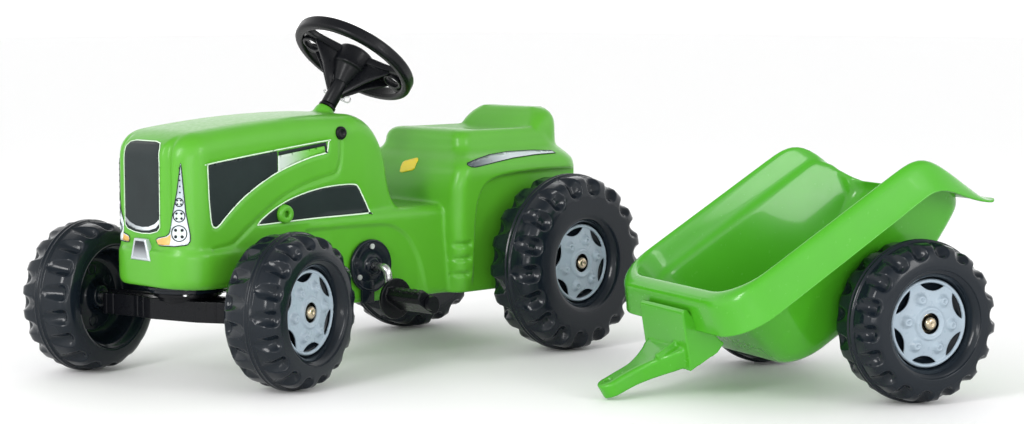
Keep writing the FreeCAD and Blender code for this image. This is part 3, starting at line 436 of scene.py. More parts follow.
FILM_YELLOW = shader("film_yellow", (0.80, 0.62, 0.02), 0.35, bump=0.05, grain=0.8)
FILM_ORANGE = shader("film_orange", (0.72, 0.42, 0.12), 0.35, bump=0.05, grain=0.8, mottle=0.12)


def fade(name, start, end, axis, low, high, rough=0.32, metal=0.2):
    """Printed film that runs from one colour to another between two places (mm) along an axis; on the badge plate
    the run is a painted reflection instead of print.
    """
    m = shader(name, start, rough, metal=metal, bump=0.04, grain=0.8)
    nodes, links = m.node_tree.nodes, m.node_tree.links
    split = nodes.new("ShaderNodeSeparateXYZ")
    links.new(nodes["Texture Coordinate"].outputs["Object"], split.inputs["Vector"])
    ramp = nodes.new("ShaderNodeMapRange")
    ramp.interpolation_type = "SMOOTHSTEP"
    index = "XYZ".index(axis)
    ramp.inputs["From Min"].default_value = (low + SHIFT[index]) * 0.001
    ramp.inputs["From Max"].default_value = (high + SHIFT[index]) * 0.001
    links.new(split.outputs[index], ramp.inputs["Value"])
    mix = nodes.new("ShaderNodeMix")
    mix.data_type = "RGBA"
    mix.inputs["A"].default_value = (*start, 1)
    mix.inputs["B"].default_value = (*end, 1)
    links.new(ramp.outputs["Result"], mix.inputs["Factor"])
    links.new(mix.outputs["Result"], nodes["Principled BSDF"].inputs["Base Color"])
    return m


# ---- wheels ------------------------------------------------------------------------------------------
LUGS = 18
WHEEL_COLUMNS = LUGS * 26


def tread_depth(run, angle, radius, stagger):
    """How deep the finger-shaped scoops between the lugs cut, at a run along the profile from the seam."""
    k = radius / 105.0
    pitch = 2 * math.pi / LUGS
    off = (angle + stagger * pitch) % pitch - pitch / 2
    reach = 43.0 * k
    along = np.clip(run / reach, 0, 1)
    half = pitch * (0.02 + 0.20 * np.minimum(along * 6, 1) + 0.18 * along)
    u = np.clip(np.abs(off) / half, 0, 1)
    end = reach * (1 - 0.22 * (1 - np.sqrt(1 - np.minimum(u, 0.999) ** 2)))
    stop = 1 - smoothstep(run, end - 7.0 * k, end)
    begin = smoothstep(run, -6.0 * k, 30.0 * k)
    return 8.5 * k * begin * stop * (1 - u ** 2)


def wheel_mesh(radius):
    """One-piece moulded wheel about +X, its outside at +X, with seam, lugs, deep dishes and hub."""
    R = radius
    seam = [(0, R - 1.4), (2.0, R - 1.3), (2.8, R - 0.1), (4.2, R - 0.1), (5.0, R - 2.4)]
    shoulder = [(6.4, R - 3.1), (14, R - 3.4), (22, R - 4.2), (28, R - 6.0), (33, R - 9.6), (36.4, R - 15),
                (38.6, R - 22), (39.6, R - 30)]
    wall = [(39.6, R - 30), (39.7, R - 36), (38.8, CAP_R + 13), (36, CAP_R + 8), (31.5, CAP_R + 4.6),
            (26, CAP_R + 2.4), (21, CAP_R + 1.2), (20, CAP_R)]
    dish = [(20, CAP_R), (19.5, 52), (15, 49), (13, 40), (13, 26), (16, 21), (19.6, 18), (19.6, 6.1)]
    back_shoulder = [(6.4, R - 3.1), (16, R - 3.3), (28, R - 4.0), (36, R - 6.0), (42, R - 9.8),
                     (46, R - 15.5), (48, R - 23), (48.6, R - 30)]
    back_wall = [(48.6, R - 30), (48.4, R - 34), (46.5, CAP_R + 15), (41, CAP_R + 8), (31, CAP_R + 4),
                 (16, CAP_R), (9, CAP_R - 6)]
    back_dish = [(9, CAP_R - 6), (8.5, 44), (9, 30), (12, 20), (20, 16.5), (27, 15.5), (27, 6.1)]
    front = np.vstack([seam, curve_through(shoulder, 46)[:-1], curve_through(wall, 20)[:-1],
                       resample(dish, 18)])
    back = np.vstack([seam, curve_through(back_shoulder, 50)[:-1], curve_through(back_wall, 20)[:-1],
                      resample(back_dish, 16)])
    a = np.linspace(0, 2 * np.pi, WHEEL_COLUMNS, endpoint=False)
    grids = []
    for side, profile, stagger in ((1, front, 0.0), (-1, back, 0.5)):
        d = np.gradient(profile, axis=0)
        out = np.stack([-d[:, 1], d[:, 0]], 1)
        out /= np.linalg.norm(out, axis=1)[:, None]
        run = np.concatenate([[0], np.cumsum(np.linalg.norm(np.diff(profile, axis=0), axis=1))])
        rows = []
        for (x, r), (nx, nr), along in zip(profile, out, run - 7.5):
            depth = tread_depth(along, a, R, stagger) if 0 < along < 70 else np.zeros(len(a))
            rows.append(np.stack([side * (x - nx * depth), (r - nr * depth) * np.cos(a),
                                  (r - nr * depth) * np.sin(a)], 1))
        grids.append(rows)
    rows = grids[1][::-1] + grids[0][1:]
    verts = np.vstack(rows)
    body = (verts, grid_faces(len(rows), WHEEL_COLUMNS, close_cols=True))
    cups = []
    for k in range(6):
        b = 2 * math.pi * k / 6
        profile = [(-9.4, 8.2), (-10.2, 7.6), (-10.2, 6.6), (-9.0, 6.2), (-3.0, 5.9), (-3.0, 0.01)]
        v, f = revolve(profile, 24)
        cups.append((v + [0, 36 * math.cos(b), 36 * math.sin(b)], f))
    return join([body] + cups)


def cap_mesh():
    """Grey wheel cap: rim ring, six lens openings, six bolt bosses with sockets, raised centre."""
    lenses = []
    for k in range(6):
        mid = math.radians(60 * k + 30)
        outer = mid + np.radians(np.linspace(-21, 21, 15))
        inner = np.linspace(1, -1, 13)[1:-1]
        edge = np.stack([51.5 * np.cos(outer), 51.5 * np.sin(outer)], 1)
        a, b = edge[-1], edge[0]
        middle = np.array([math.cos(mid), math.sin(mid)])
        sag = 6.5 * (1 - inner ** 2)
        chord = (a + b) / 2 + (a - b) / 2 * inner[:, None] - middle * sag[:, None]
        lenses.append(np.vstack([edge, chord]))
    hub = circle2(0, 0, 13.6, 40)
    flat, tris = flat_plate(circle2(0, 0, CAP_R, 120), lenses + [hub], 1.6)
    r = np.linalg.norm(flat, axis=1)
    h = 2.6 + 3.4 * (1 - smoothstep(r, 20, 50))
    h += 2.6 * smoothstep(r, 51.8, 53.2) * (1 - smoothstep(r, 55.0, 57.0))
    h += 3.6 * (1 - smoothstep(r, 20.5, 21.8)) - 1.8 * (1 - smoothstep(r, 16.6, 17.6))
    for k in range(6):
        a = math.radians(60 * k)
        d = np.linalg.norm(flat - [34 * math.cos(a), 34 * math.sin(a)], axis=1)
        h += 4.6 * (1 - smoothstep(d, 4.8, 6.6)) + 1.6 * (1 - smoothstep(d, 7.8, 8.8))
        h -= 3.2 * (1 - smoothstep(d, 1.6, 2.6))
    verts = np.column_stack([20 + h, flat[:, 0], flat[:, 1]])
    return verts, tris


def nut_mesh():
    """Domed push nut with a rolled flange and a dimple."""
    profile = [(20, 6.0), (20, 12.4), (20.6, 12.9), (21.6, 12.6), (22.0, 11.4), (22.2, 9.6), (24, 9.0),
               (28.5, 8.4), (30.6, 6.6), (31.6, 3.6), (31.2, 2.2), (30.2, 1.0), (29.8, 0.02)]
    return revolve(profile, 48)


def outward(points, side):
    p = np.array(points, float)
    p[:, 0] *= side
    return p


def wheels():
    tread = {FRONT_R: wheel_mesh(FRONT_R), REAR_R: wheel_mesh(REAR_R)}
    cap, nut = cap_mesh(), nut_mesh()
    sets = (("front", FRONT_R, TRACK, lambda p: on_axle(p + [0, FRONT_Y, FRONT_R]), "front_axle",
             (8.0, 31.0)),
            ("rear", REAR_R, TRACK, lambda p: p + [0, REAR_Y, REAR_R], "rear_axle", (13.0, 41.0)),
            ("trailer", FRONT_R, TRAILER_TRACK, on_trailer, "trailer_axle", (22.0, 3.0)))
    for name, radius, track, put, axle, turns in sets:
        nuts = []
        for side, hand, turn in ((1, "left", turns[0]), (-1, "right", turns[1])):
            spin = rot("X", turn)

            def stand(mesh, own_spin=spin, own_side=side):
                points = outward(mesh[0] @ own_spin.T, own_side) + [own_side * track, 0, 0]
                return put(points), mesh[1]

            body = f"{name}_wheel_{hand}"
            if name == "rear" and side > 0:
                body = "rear_axle"
            make(f"{name}_wheel_{hand}_tyre", stand(tread[radius]), BLACK_WHEEL, body,
                 [f"{name}_tyre_{hand}"])
            disc = make(f"{name}_wheel_{hand}_cap", stand(cap), CAP_GREY)
            modify(disc, "SOLIDIFY", thickness=0.0022, offset=-1)
            attach(disc, body, [f"{name}_cap_{hand}"])
            nuts.append(stand(nut))
        make(f"{name}_nuts", join(nuts), NUT, axle, [f"{name}_push_nuts"])


wheels()


# ---- tractor body --------------------------------------------------------------------------------------
def bonnet_top(y):
    return 356.5 - 21.0 * ((np.asarray(y) + 82.0) / 270.0) ** 2


def across(y, w, z0, z1, r_low, r_high, crown=0.0):
    uv = rounded_rect(-w, w, z0, z1, (r_low, r_high, r_high, r_low), 10, 12)
    top = smoothstep(uv[:, 1], (z0 + z1) / 2, z1)
    z = uv[:, 1] + crown * top * (1 - np.clip(np.abs(uv[:, 0]) / w, 0, 1) ** 2)
    return np.column_stack([uv[:, 0], np.full(len(uv), y), z])


def level(z, w, y0, y1, r_front, r_rear):
    uv = rounded_rect(-w, w, y0, y1, (r_front, r_rear, r_rear, r_front), 10, 12)
    return np.column_stack([uv[:, 0], uv[:, 1], np.full(len(uv), z)])


def bonnet_form():
    corner, brow = 42.0, 24.0
    sections = []
    for a in np.radians(np.linspace(0, 90, 14)):
        lost = 1 - math.sin(a)
        y = -352 + corner * (1 - math.cos(a))
        sections.append(across(y, 82 - corner * lost, 135, bonnet_top(y) - brow * lost - 2, 8,
                               10 + 16 * (1 - lost), 2.0))
    for y in np.linspace(-300, -60, 16):
        sections.append(across(y, 82, 135, bonnet_top(y) - 2, 8, 26, 2.0))
    ys = (-50, -38, -26, -15, -6, 1, 6, 10, 16, 25, 38, 46)
    tops = (354.5, 351.5, 346, 338, 326.5, 313, 297, 277, 254, 235, 221, 216)
    widths = (82, 82, 81.5, 81, 80.5, 80, 79.5, 79, 79, 80, 83, 84)
    for y in np.linspace(-50, 46, 40):
        sections.append(across(y, float(spline(ys, widths, y)), 135, float(spline(ys, tops, y)), 8, 22, 1.0))
    return loft(sections)


def bumper_form():
    corner = 56.0
    sections = []
    for a in np.radians(np.linspace(0, 90, 14)):
        y = -358 + corner * (1 - math.cos(a))
        sections.append(across(y, 88 - corner * (1 - math.sin(a)), 131 + 5 * (1 - math.sin(a)), 183, 12, 6))
    for y in np.linspace(-296, -240, 6):
        sections.append(across(y, 88 - 5.0 * float(smoothstep(y, -296, -240)), 131, 183, 12, 6))
    return loft(sections)


def footwell_form():
    sections = []
    for y in np.linspace(-134, 150, 40):
        w = float(spline((-134, -112, -90, 60, 150), (83, 86, 88.5, 88.5, 88), y))
        z0 = float(spline((-134, -122, -106, -84, 60, 150), (133, 122, 103, BELLY_Z + 1, BELLY_Z, BELLY_Z),
                          y))
        sections.append(across(y, w, z0, SADDLE_Z, 9, 14, 1.0))
    return loft(sections)


def seat_form():
    zs = (90, 130, 200, 240, 262, 270, 276, 281, 286, 291, 297, 304, 311, 317, 322, 325.5, 327)
    ws = (104, 112, 116, 118, 120, 119.5, 117.5, 113, 106.5, 98, 90.5, 87.5, 86.4, 84.2, 80, 73, 62)
    fronts = (122, 118, 112, 112, 116, 119, 123, 127, 132.5, 139, 144.5, 146.5, 147.2, 149, 153, 161, 170)
    backs = (364, 374, 378, 379, 378, 377, 376, 374, 372, 370, 367, 364, 361, 358, 354, 349, 342)
    sections = []
    for z in np.concatenate([np.linspace(90, 258, 24), np.linspace(261, 327, 40)]):
        w, y0, y1 = (float(spline(zs, v, z)) for v in (ws, fronts, backs))
        sections.append(level(z, w, y0, y1, 20, 44))
    return loft(sections)


def backrest_form():
    zs = (292, 306, 318, 328, 335, 341, 346, 350, 352, BACKREST_TOP)
    sections = []
    for z in np.concatenate([np.linspace(292, 334, 14), np.linspace(336, BACKREST_TOP, 16)]):
        w = float(spline(zs, (86, 85, 84.5, 83.5, 81.5, 78.5, 74, 67, 60, 52), z))
        y0 = float(spline(zs, (276, 288, 297, 306, 312, 318, 323, 327.5, 331, 335), z))
        y1 = float(spline(zs, (365, 364, 362, 360, 358.5, 356.5, 354.5, 351.5, 349, 345), z))
        sections.append(level(z, w, y0, y1, 18, 30 - 14 * float(smoothstep(z, 300, 350))))
    return loft(sections)


def collar_form():
    """Low ring that the steering column comes out of."""
    foot = HUB + (340.0 - HUB[2]) / math.cos(math.radians(COLUMN_TILT)) * np.array(
        [0, math.sin(math.radians(COLUMN_TILT)), math.cos(math.radians(COLUMN_TILT))])
    profile = [(-4, 0.02), (-4, 15.5), (12, 15.2), (22, 14.6), (25.6, 12.6), (26.6, 10.5), (26.6, 0.02)]
    v, f = revolve(resample(profile, 44), 48)
    turn = rot("X", -COLUMN_TILT) @ rot("Y", -90)
    return v @ turn.T + foot, f


UPPER_PANEL = [(-309, 296), (-306, 299), (-200, 311.5), (-103, 321.5), (-98.5, 319), (-101, 305),
               (-104, 302.5), (-130, 298), (-160, 290), (-190, 280), (-220, 266), (-250, 248), (-274, 229),
               (-288, 216), (-295, 212), (-301, 214), (-304, 222), (-307, 250)]
LOWER_PANEL = [(-226, 212.5), (-218, 220), (-196, 233), (-170, 244), (-140, 252), (-110, 257), (-80, 259),
               (-54, 258.5), (-46, 255), (-38, 243), (-25, 220), (-26, 216), (-30, 214.5), (-130, 213.5),
               (-218, 211)]
MOULD_LINE = [(-300, 184), (-286, 186), (-272, 188), (-262, 193), (-240, 209), (-210, 230), (-176, 249),
              (-140, 262), (-105, 270), (-90, 273), (-83, 279), (-79, 292), (-77.5, 309), (-78, 322)]
ARCH_LINE = [(-134, 199.5), (-60, 199.5), (0, 197.5), (22, 191), (40, 179), (54, 161), (64, 142), (71, 122),
             (76, 104), (79, 92)]
REAR_ARCH = [(150, 84), (150, 150), (151, 200), (156, 228), (168, 246), (190, 256), (230, 261), (300, 263),
             (372, 262)]


def body_features(obj):
    """Moulded details: panel recesses, mould line, arch steps, nose channels, seat dish, louvres."""
    p, n = coords(obj), normals(obj)
    yz = p[:, 1:]
    side = smoothstep(np.abs(n[:, 0]), 0.45, 0.8) * (np.abs(p[:, 0]) > 60)
    sign = np.sign(p[:, 0])
    push = np.zeros(len(p))
    for outline, depth in ((UPPER_PANEL, 1.6), (LOWER_PANEL, 1.8)):
        d = line_distance(yz, outline, True) * np.where(inside(yz, np.array(outline, float)), 1, -1)
        push += depth * smoothstep(d, -2.5, 0.8)
    d = line_distance(yz, curve_through(MOULD_LINE, 60))
    push += 2.4 * np.exp(-(d / 2.6) ** 2)
    arch = np.vstack([curve_through(ARCH_LINE, 50), [(79, 60), (-170, 60), (-170, 199.5)]])
    d = line_distance(yz, curve_through(ARCH_LINE, 60)) * np.where(inside(yz, arch), 1, -1)
    push += 4.0 * smoothstep(d, -2.2, 2.2) * (p[:, 1] > -140) * smoothstep(-p[:, 1], -90, -60)
    push = np.where(p[:, 1] > 90, 0, push)
    p[:, 0] -= sign * push * side
    front = smoothstep(-n[:, 1], 0.3, 0.8) * smoothstep(p[:, 2], 188, 200) * (p[:, 1] < -290)
    x = np.abs(p[:, 0])
    channel = np.exp(-((x - 51) / 4.5) ** 2) * 3.4 - 2.6 * (1 - smoothstep(x, 43, 48))
    p[:, 1] += front * channel * (1 - smoothstep(p[:, 2], 330, 344))
    seat = (p[:, 2] > 296) & (p[:, 1] > 150) & (p[:, 1] < 330)
    dish = np.clip(1 - (p[:, 0] / 76) ** 4, 0, 1) * smoothstep(p[:, 1], 160,
                                                               225) * (1 - smoothstep(p[:, 1], 292, 318))
    p[:, 2] -= np.where(seat, 11.0 * dish * smoothstep(n[:, 2], 0.2, 0.6), 0)
    line = curve_through(REAR_ARCH, 80)
    d = line_distance(p[:, 1:], line) * np.where(inside(p[:, 1:], np.vstack([line, [(420, 262), (420, 60),
                                                                                    (150, 60)]])), 1, -1)
    hollow = smoothstep(d, -1.5, 4.0) * (np.abs(p[:, 0]) > 96) * (p[:, 1] > 100)
    p[:, 0] -= sign * hollow * np.clip(np.abs(p[:, 0]) - 105.5, 0, 20)
    for z in (118, 141, 162):
        near = np.exp(-((p[:, 2] - z) / 3.6) ** 2) * smoothstep(p[:, 1], 112,
                                                                120) * (1 - smoothstep(p[:, 1], 138, 147))
        p[:, 0] -= sign * near * 4.6 * (np.abs(p[:, 0]) > 92)
    set_coords(obj, p)


def cut_openings(obj):
    """Open the belly slot and the way for the steering rod, with turned-in edges."""
    bm = bmesh.new()
    bm.from_mesh(obj.data)
    slots = ((-16, 16, -84, 324, 80, 97), (-50, 50, -206, -138, 120, 138))
    gone = []
    for face in bm.faces:
        c = np.array(face.calc_center_median()) * 1000 - SHIFT
        if any(x0 < c[0] < x1 and y0 < c[1] < y1 and z0 < c[2] < z1 for x0, x1, y0, y1, z0, z1 in slots):
            gone.append(face)
    bmesh.ops.delete(bm, geom=gone, context="FACES")
    rim = [e for e in bm.edges if e.is_boundary]
    made = bmesh.ops.extrude_edge_only(bm, edges=rim)["geom"]
    for v in made:
        if isinstance(v, bmesh.types.BMVert):
            v.co.z += 0.004
    bm.to_mesh(obj.data)
    bm.free()


def body():
    form = join([bonnet_form(), bumper_form(), footwell_form(), seat_form(), backrest_form(), collar_form()])
    obj = make("body_moulding", form, GREEN)
    modify(obj, "REMESH", mode="VOXEL", voxel_size=0.0024, use_smooth_shade=True)
    modify(obj, "SMOOTH", factor=0.5, iterations=9)
    body_features(obj)
    modify(obj, "SMOOTH", factor=0.4, iterations=1)
    cut_openings(obj)
    shade_smooth(obj)
    attach(obj, "tractor_body", ["body_shell"])
    return obj


BODY = body()


# ---- films and small trim laid on the body --------------------------------------------------------------
SKIN = BVHTree.FromPolygons([Vector(v) for v in coords(BODY)],
                            [tuple(f.vertices) for f in BODY.data.polygons])


def inset(outline, distance):
    """Closed outline moved inward."""
    p = np.asarray(outline, float)
    ahead, behind = np.roll(p, -1, 0) - p, p - np.roll(p, 1, 0)
    ahead /= np.linalg.norm(ahead, axis=1)[:, None]
    behind /= np.linalg.norm(behind, axis=1)[:, None]
    area = np.sum(p[:, 0] * np.roll(p[:, 1], -1) - p[:, 1] * np.roll(p[:, 0], -1))
    turn = 1.0 if area > 0 else -1.0
    n1, n2 = np.stack([-ahead[:, 1], ahead[:, 0]], 1), np.stack([-behind[:, 1], behind[:, 0]], 1)
    mid = n1 + n2
    scale = np.maximum(np.sum(mid * n1, 1), 0.45)
    return p + turn * distance * mid / scale[:, None]


def side_ray(side):
    return lambda u, v: ((side * 170.0, u, v), (-side, 0.0, 0.0))


def nose_ray(u, v):
    return (u, -430.0, v), (0.0, 1.0, 0.0)


def corner_ray(side):
    """u runs across the nose and on round the bonnet's corner."""
    def cast(u, v):
        if u < 40:
            return (side * u, -430.0, v), (0.0, 1.0, 0.0)
        a = (u - 40.0) / 42.0
        d = (side * math.sin(a), -math.cos(a))
        return (side * 40 + 80 * d[0], -310 + 80 * d[1], v), (-d[0], -d[1], 0.0)
    return cast


def drape(outline, cast, holes=(), lift=0.5, step=3.0, smooth_outline=0):
    """Plate of film laid on the body: (vertices, faces)."""
    ring = resample(outline, smooth_outline, closed=True) if smooth_outline else np.asarray(outline, float)
    flat, tris = flat_plate(ring, holes, step)
    points = []
    for u, v in flat:
        origin, way = cast(u, v)
        hit, normal, _, _ = SKIN.ray_cast(Vector(origin), Vector(way), 260.0)
        if hit is None:
            hit = points[-1] if points else Vector(origin)
            normal = Vector((0, 0, 0))
        points.append(hit + normal * lift)
    return np.array([list(q) for q in points]), tris


def film(name, mesh, material, nodes=(), thick=0.5):
    obj = make(name, mesh, material)
    modify(obj, "SOLIDIFY", thickness=thick * 0.001, offset=0.0)
    shade_smooth(obj)
    attach(obj, "tractor_body", nodes)
    return obj


def side_films():
    fade_mat = fade("film_fade", (0.50, 0.58, 0.52), (0.11, 0.42, 0.03), "Y", -185, -128, metal=0.1)
    wedge = [(-188, 309), (-104, 318.5), (-101, 303.5), (-104.5, 302.5), (-106.5, 313.5), (-188, 304)]
    light = [(-189, 281.5), (-189, 303.5), (-107, 313), (-105.5, 305.5), (-130, 299.5), (-160, 292)]
    dark = [(-307, 295), (-304, 297.5), (-190, 310), (-190, 281.5), (-220, 268), (-250, 250), (-274, 231),
            (-288, 218.5), (-294.5, 214.5), (-299.5, 216), (-302.3, 223), (-305.4, 250)]
    edge, field, shade, glow = [], [], [], []
    for side in (1, -1):
        cast = side_ray(side)
        outer = resample(curve_through(UPPER_PANEL + UPPER_PANEL[:1], 220)[:-1], 220, closed=True)
        edge.append(drape(outer, cast, [inset(outer, 1.9)], lift=0.5))
        outer = resample(curve_through(LOWER_PANEL + LOWER_PANEL[:1], 200)[:-1], 200, closed=True)
        edge.append(drape(outer, cast, [inset(outer, 1.9)], lift=0.5))
        field.append(drape(resample(dark, 140, closed=True), cast, lift=0.5))
        boss = circle2(*BOSS_AT, 13.5)
        field.append(drape(inset(outer, 1.9), cast, [boss], lift=0.5))
        shade.append(drape(resample(wedge, 110, closed=True), cast, lift=0.55, step=2.0))
        glow.append(drape(resample(light, 90, closed=True), cast, lift=0.5))
    film("bonnet_side_lines", join(edge), FILM_PALE)
    film("bonnet_side_film", join([field[0], field[2]] + shade), FILM_DARK, ["bonnet_side_stickers"])
    film("lower_side_film", join([field[1], field[3]]), FILM_DARK, ["lower_side_stickers"])
    film("bonnet_side_fade", join(glow), fade_mat)


def nose_films():
    outline = [(-39, 214), (-39.5, 300), (-38, 319), (-33, 325.5), (-22, 327.5), (22, 327.5), (33, 325.5),
               (38, 319), (39.5, 300), (39, 214), (33, 208.5), (18, 205), (0, 204), (-18, 205), (-33, 208.5)]
    ring = resample(outline, 180, closed=True)
    crescent = [(-37, 219), (-30, 213.5), (-15, 209.5), (0, 208.3), (15, 209.5), (30, 213.5), (37, 219),
                (37.2, 225), (28, 218.5), (14, 214.2), (0, 213), (-14, 214.2), (-28, 218.5), (-37.2, 225)]
    film("grille_film", drape(inset(ring, 1.2), nose_ray, lift=0.5), FILM_DARK, ["grille_sticker"])
    film("grille_line", drape(ring, nose_ray, [inset(ring, 1.2)], lift=0.6, step=2.5), FILM_PALE)
    shine = fade("film_crescent", (0.30, 0.33, 0.35), (0.72, 0.78, 0.80), "X", -30, 25)
    film("grille_crescent", drape(resample(crescent, 110, closed=True), nose_ray, lift=0.95, step=2.0), shine)
    lamp_film = fade("film_lamp", (0.34, 0.40, 0.44), (0.66, 0.72, 0.75), "Z", 285, 195)
    outer = [(70, 301), (71.3, 296), (76.5, 236), (82, 206), (82, 198), (78, 192.5), (60, 190), (34, 190),
             (30, 194), (29, 198.5), (33, 201), (46, 204), (50, 208), (56, 226), (64, 262), (68.7, 296)]
    tip = [(32.5, 192), (31, 198), (47, 202.5), (52.5, 206), (52.5, 192)]
    plates, lines, rings, glass, dots, amber = [], [], [], [], [], []
    for side in (1, -1):
        cast = corner_ray(side)
        edge = resample(outer, 150, closed=True)
        plates.append(drape(inset(edge, 1.1), cast, lift=0.5, step=2.5))
        lines.append(drape(edge, cast, [inset(edge, 1.1)], lift=0.6, step=2.5))
        amber.append(drape(resample(tip, 60, closed=True), cast, lift=0.95, step=2.0))
        for z, r in ((208, 11.0), (231, 8.4), (249, 6.0)):
            u = 67.5 - (249 - z) * 0.02
            rings.append(drape(circle2(u, z, r), cast, [circle2(u, z, r - 1.3)], lift=1.0, step=2.0))
            glass.append(drape(circle2(u, z, r * 0.36, 20), cast, lift=1.0, step=1.5))
            for k in range(4):
                a = math.radians(45 + 90 * k)
                dots.append(drape(circle2(u + 0.56 * r * math.cos(a), z + 0.56 * r * math.sin(a), r * 0.19,
                                          14), cast,
                                  lift=1.0, step=1.2))
        for z in (262, 270, 278, 286, 294):
            dots.append(drape(circle2(68.6, z, 1.1, 10), cast, lift=1.0, step=1.0))
    film("headlight_film", join(plates), lamp_film, ["headlight_stickers"])
    film("headlight_lines", join(lines + rings + dots), FILM_DARK)
    film("headlight_glass", join(glass), FILM_PALE)
    film("headlight_amber", join(amber), FILM_ORANGE)


def badge():
    """Chromed trapezium that bridges the bumper and the nose."""
    outline = [(-12.5, 198), (12.5, 198), (21.5, 169), (-21.5, 169)]
    front, back = -360.6, -350.5
    rings = [np.array([[x, back, z] for x, z in outline]),
             np.array([[x, front + 1.2, z] for x, z in outline]),
             np.array([[x, front, z] for x, z in inset(outline, 1.2)]),
             np.array([[x, front, z] for x, z in inset(outline, 3.0)]),
             np.array([[x, front + 0.9, z] for x, z in inset(outline, 3.6)])]
    block = make("nose_badge_frame", loft(rings), FILM_SILVER)
    soften(block, 0.5, 25)
    attach(block, "tractor_body", ["nose_badge"])
    plate = inset(outline, 3.6)
    mesh = [np.array([[x, front + 0.7, z] for x, z in plate]),
            np.array([[x, front + 1.1, z] for x, z in plate])]
    # Painted reflection: the plate's colour runs from light grey at the bottom to near black at the top.
    painted_reflection_chrome = fade("film_painted_reflection", (0.42, 0.45, 0.48), (0.035, 0.04, 0.045), "Z", 171, 192, rough=0.15,
                  metal=0.6)
    attach(make("nose_badge_plate", loft(mesh), painted_reflection_chrome, smooth=False), "tractor_body")


def wing_films():
    top = [(136, 279.5), (146, 282), (160, 284.5), (190, 288.5), (230, 291), (280, 291), (322, 288.5)]
    low = [(324, 284.5), (280, 284), (230, 281.5), (190, 277.5), (160, 274), (146, 272.5), (137, 273.5),
           (133, 276.5)]
    shine = fade("film_wing", (0.07, 0.09, 0.10), (0.50, 0.56, 0.58), "Y", 135, 235)
    plates, lines = [], []
    for side in (1, -1):
        edge = resample(top + low, 150, closed=True)
        plates.append(drape(inset(edge, 0.9), side_ray(side), lift=0.6, step=3.0))
        lines.append(drape(edge, side_ray(side), [inset(edge, 0.9)], lift=0.7, step=3.0))
    film("wing_film", join(plates), shine, ["fender_stickers"])
    film("wing_line", join(lines), FILM_DARK)

    def seat_ray(u, v):
        return (u, 70.0, v), (0.0, 1.0, 0.0)

    tag = [(-10, 262), (-6, 260.5), (17, 265), (20, 268), (19.5, 279), (17, 282), (13, 282.5), (-7, 277.5),
           (-10.5, 275)]
    film("seat_tag", drape(resample(tag, 60, closed=True), seat_ray, lift=0.5, step=2.5), FILM_YELLOW,
         ["seat_label"])


def trim():
    """Loader bosses and plugs on the bonnet's sides."""
    boss = [(-2, 4.4), (3.4, 4.4), (4.6, 5.2), (5.2, 7.0), (5.2, 9.4), (4.4, 11.4), (2.8, 12.3), (0.2, 12.6),
            (-2, 12.6)]
    inner = [(-2, 4.4), (-10, 4.3), (-10, 0.01)]
    plug = [(-2, 9.2), (1.2, 9.2), (2.6, 8.5), (3.3, 7.0), (3.4, 5.0), (2.6, 3.6), (2.2, 2.0), (2.2, 0.01)]
    bosses, plugs, wells = [], [], []
    for side in (1, -1):
        for profile, y, z, into in ((boss, *BOSS_AT, bosses), (inner, *BOSS_AT, wells),
                                    (plug, *PLUG_AT, plugs)):
            v, f = revolve(profile, 48)
            into.append((outward(v, side) + [side * 82.2, y, z], f))
    make("loader_bosses", join(bosses), GREEN, "tractor_body", ["accessory_bosses"])
    make("loader_boss_wells", join(wells), GREEN, "tractor_body")
    make("bonnet_plugs", join(plugs), BLACK, "tractor_body", ["side_plugs"])


side_films()
nose_films()
badge()
wing_films()
trim()


# ---- trailer ----------------------------------------------------------------------------------------------
CREST = ((-190, -181, -172, -162, -156, -151, -145, -135, -115, -98, 230),
         (63, 66, 84, 104, 122, 138, 148, 157.5, 166.5, 168, 168))
SKIRT_FOOT = ((-192, -184, -175, -160, -150, -141, -134, -126, -112, -60, 230),
              (61, 62.5, 67, 78, 90, 102, 114, 121, 124, 123, 121))


def tub_ring(w, back, front, r_front, r_back, n, foot=False):
    """Closed ring of the tub, (b, s, n); behind, its height follows the dropping rim."""
    uv = rounded_rect(-w, w, back, front, (r_back, r_front, r_front, r_back), 16, 20)
    crest = spline(*CREST, uv[:, 1])
    share = np.clip((168.0 - n) / 100.0, 0, 1)
    if foot:
        low = spline(*SKIRT_FOOT, uv[:, 1])
        part = (168.0 - n) / 46.0
        height = crest + (low - crest) * part
    else:
        height = np.minimum(n, crest - 5.0 * share * smoothstep(n, 64, 80))
    return np.column_stack([uv[:, 0], -uv[:, 1], height])


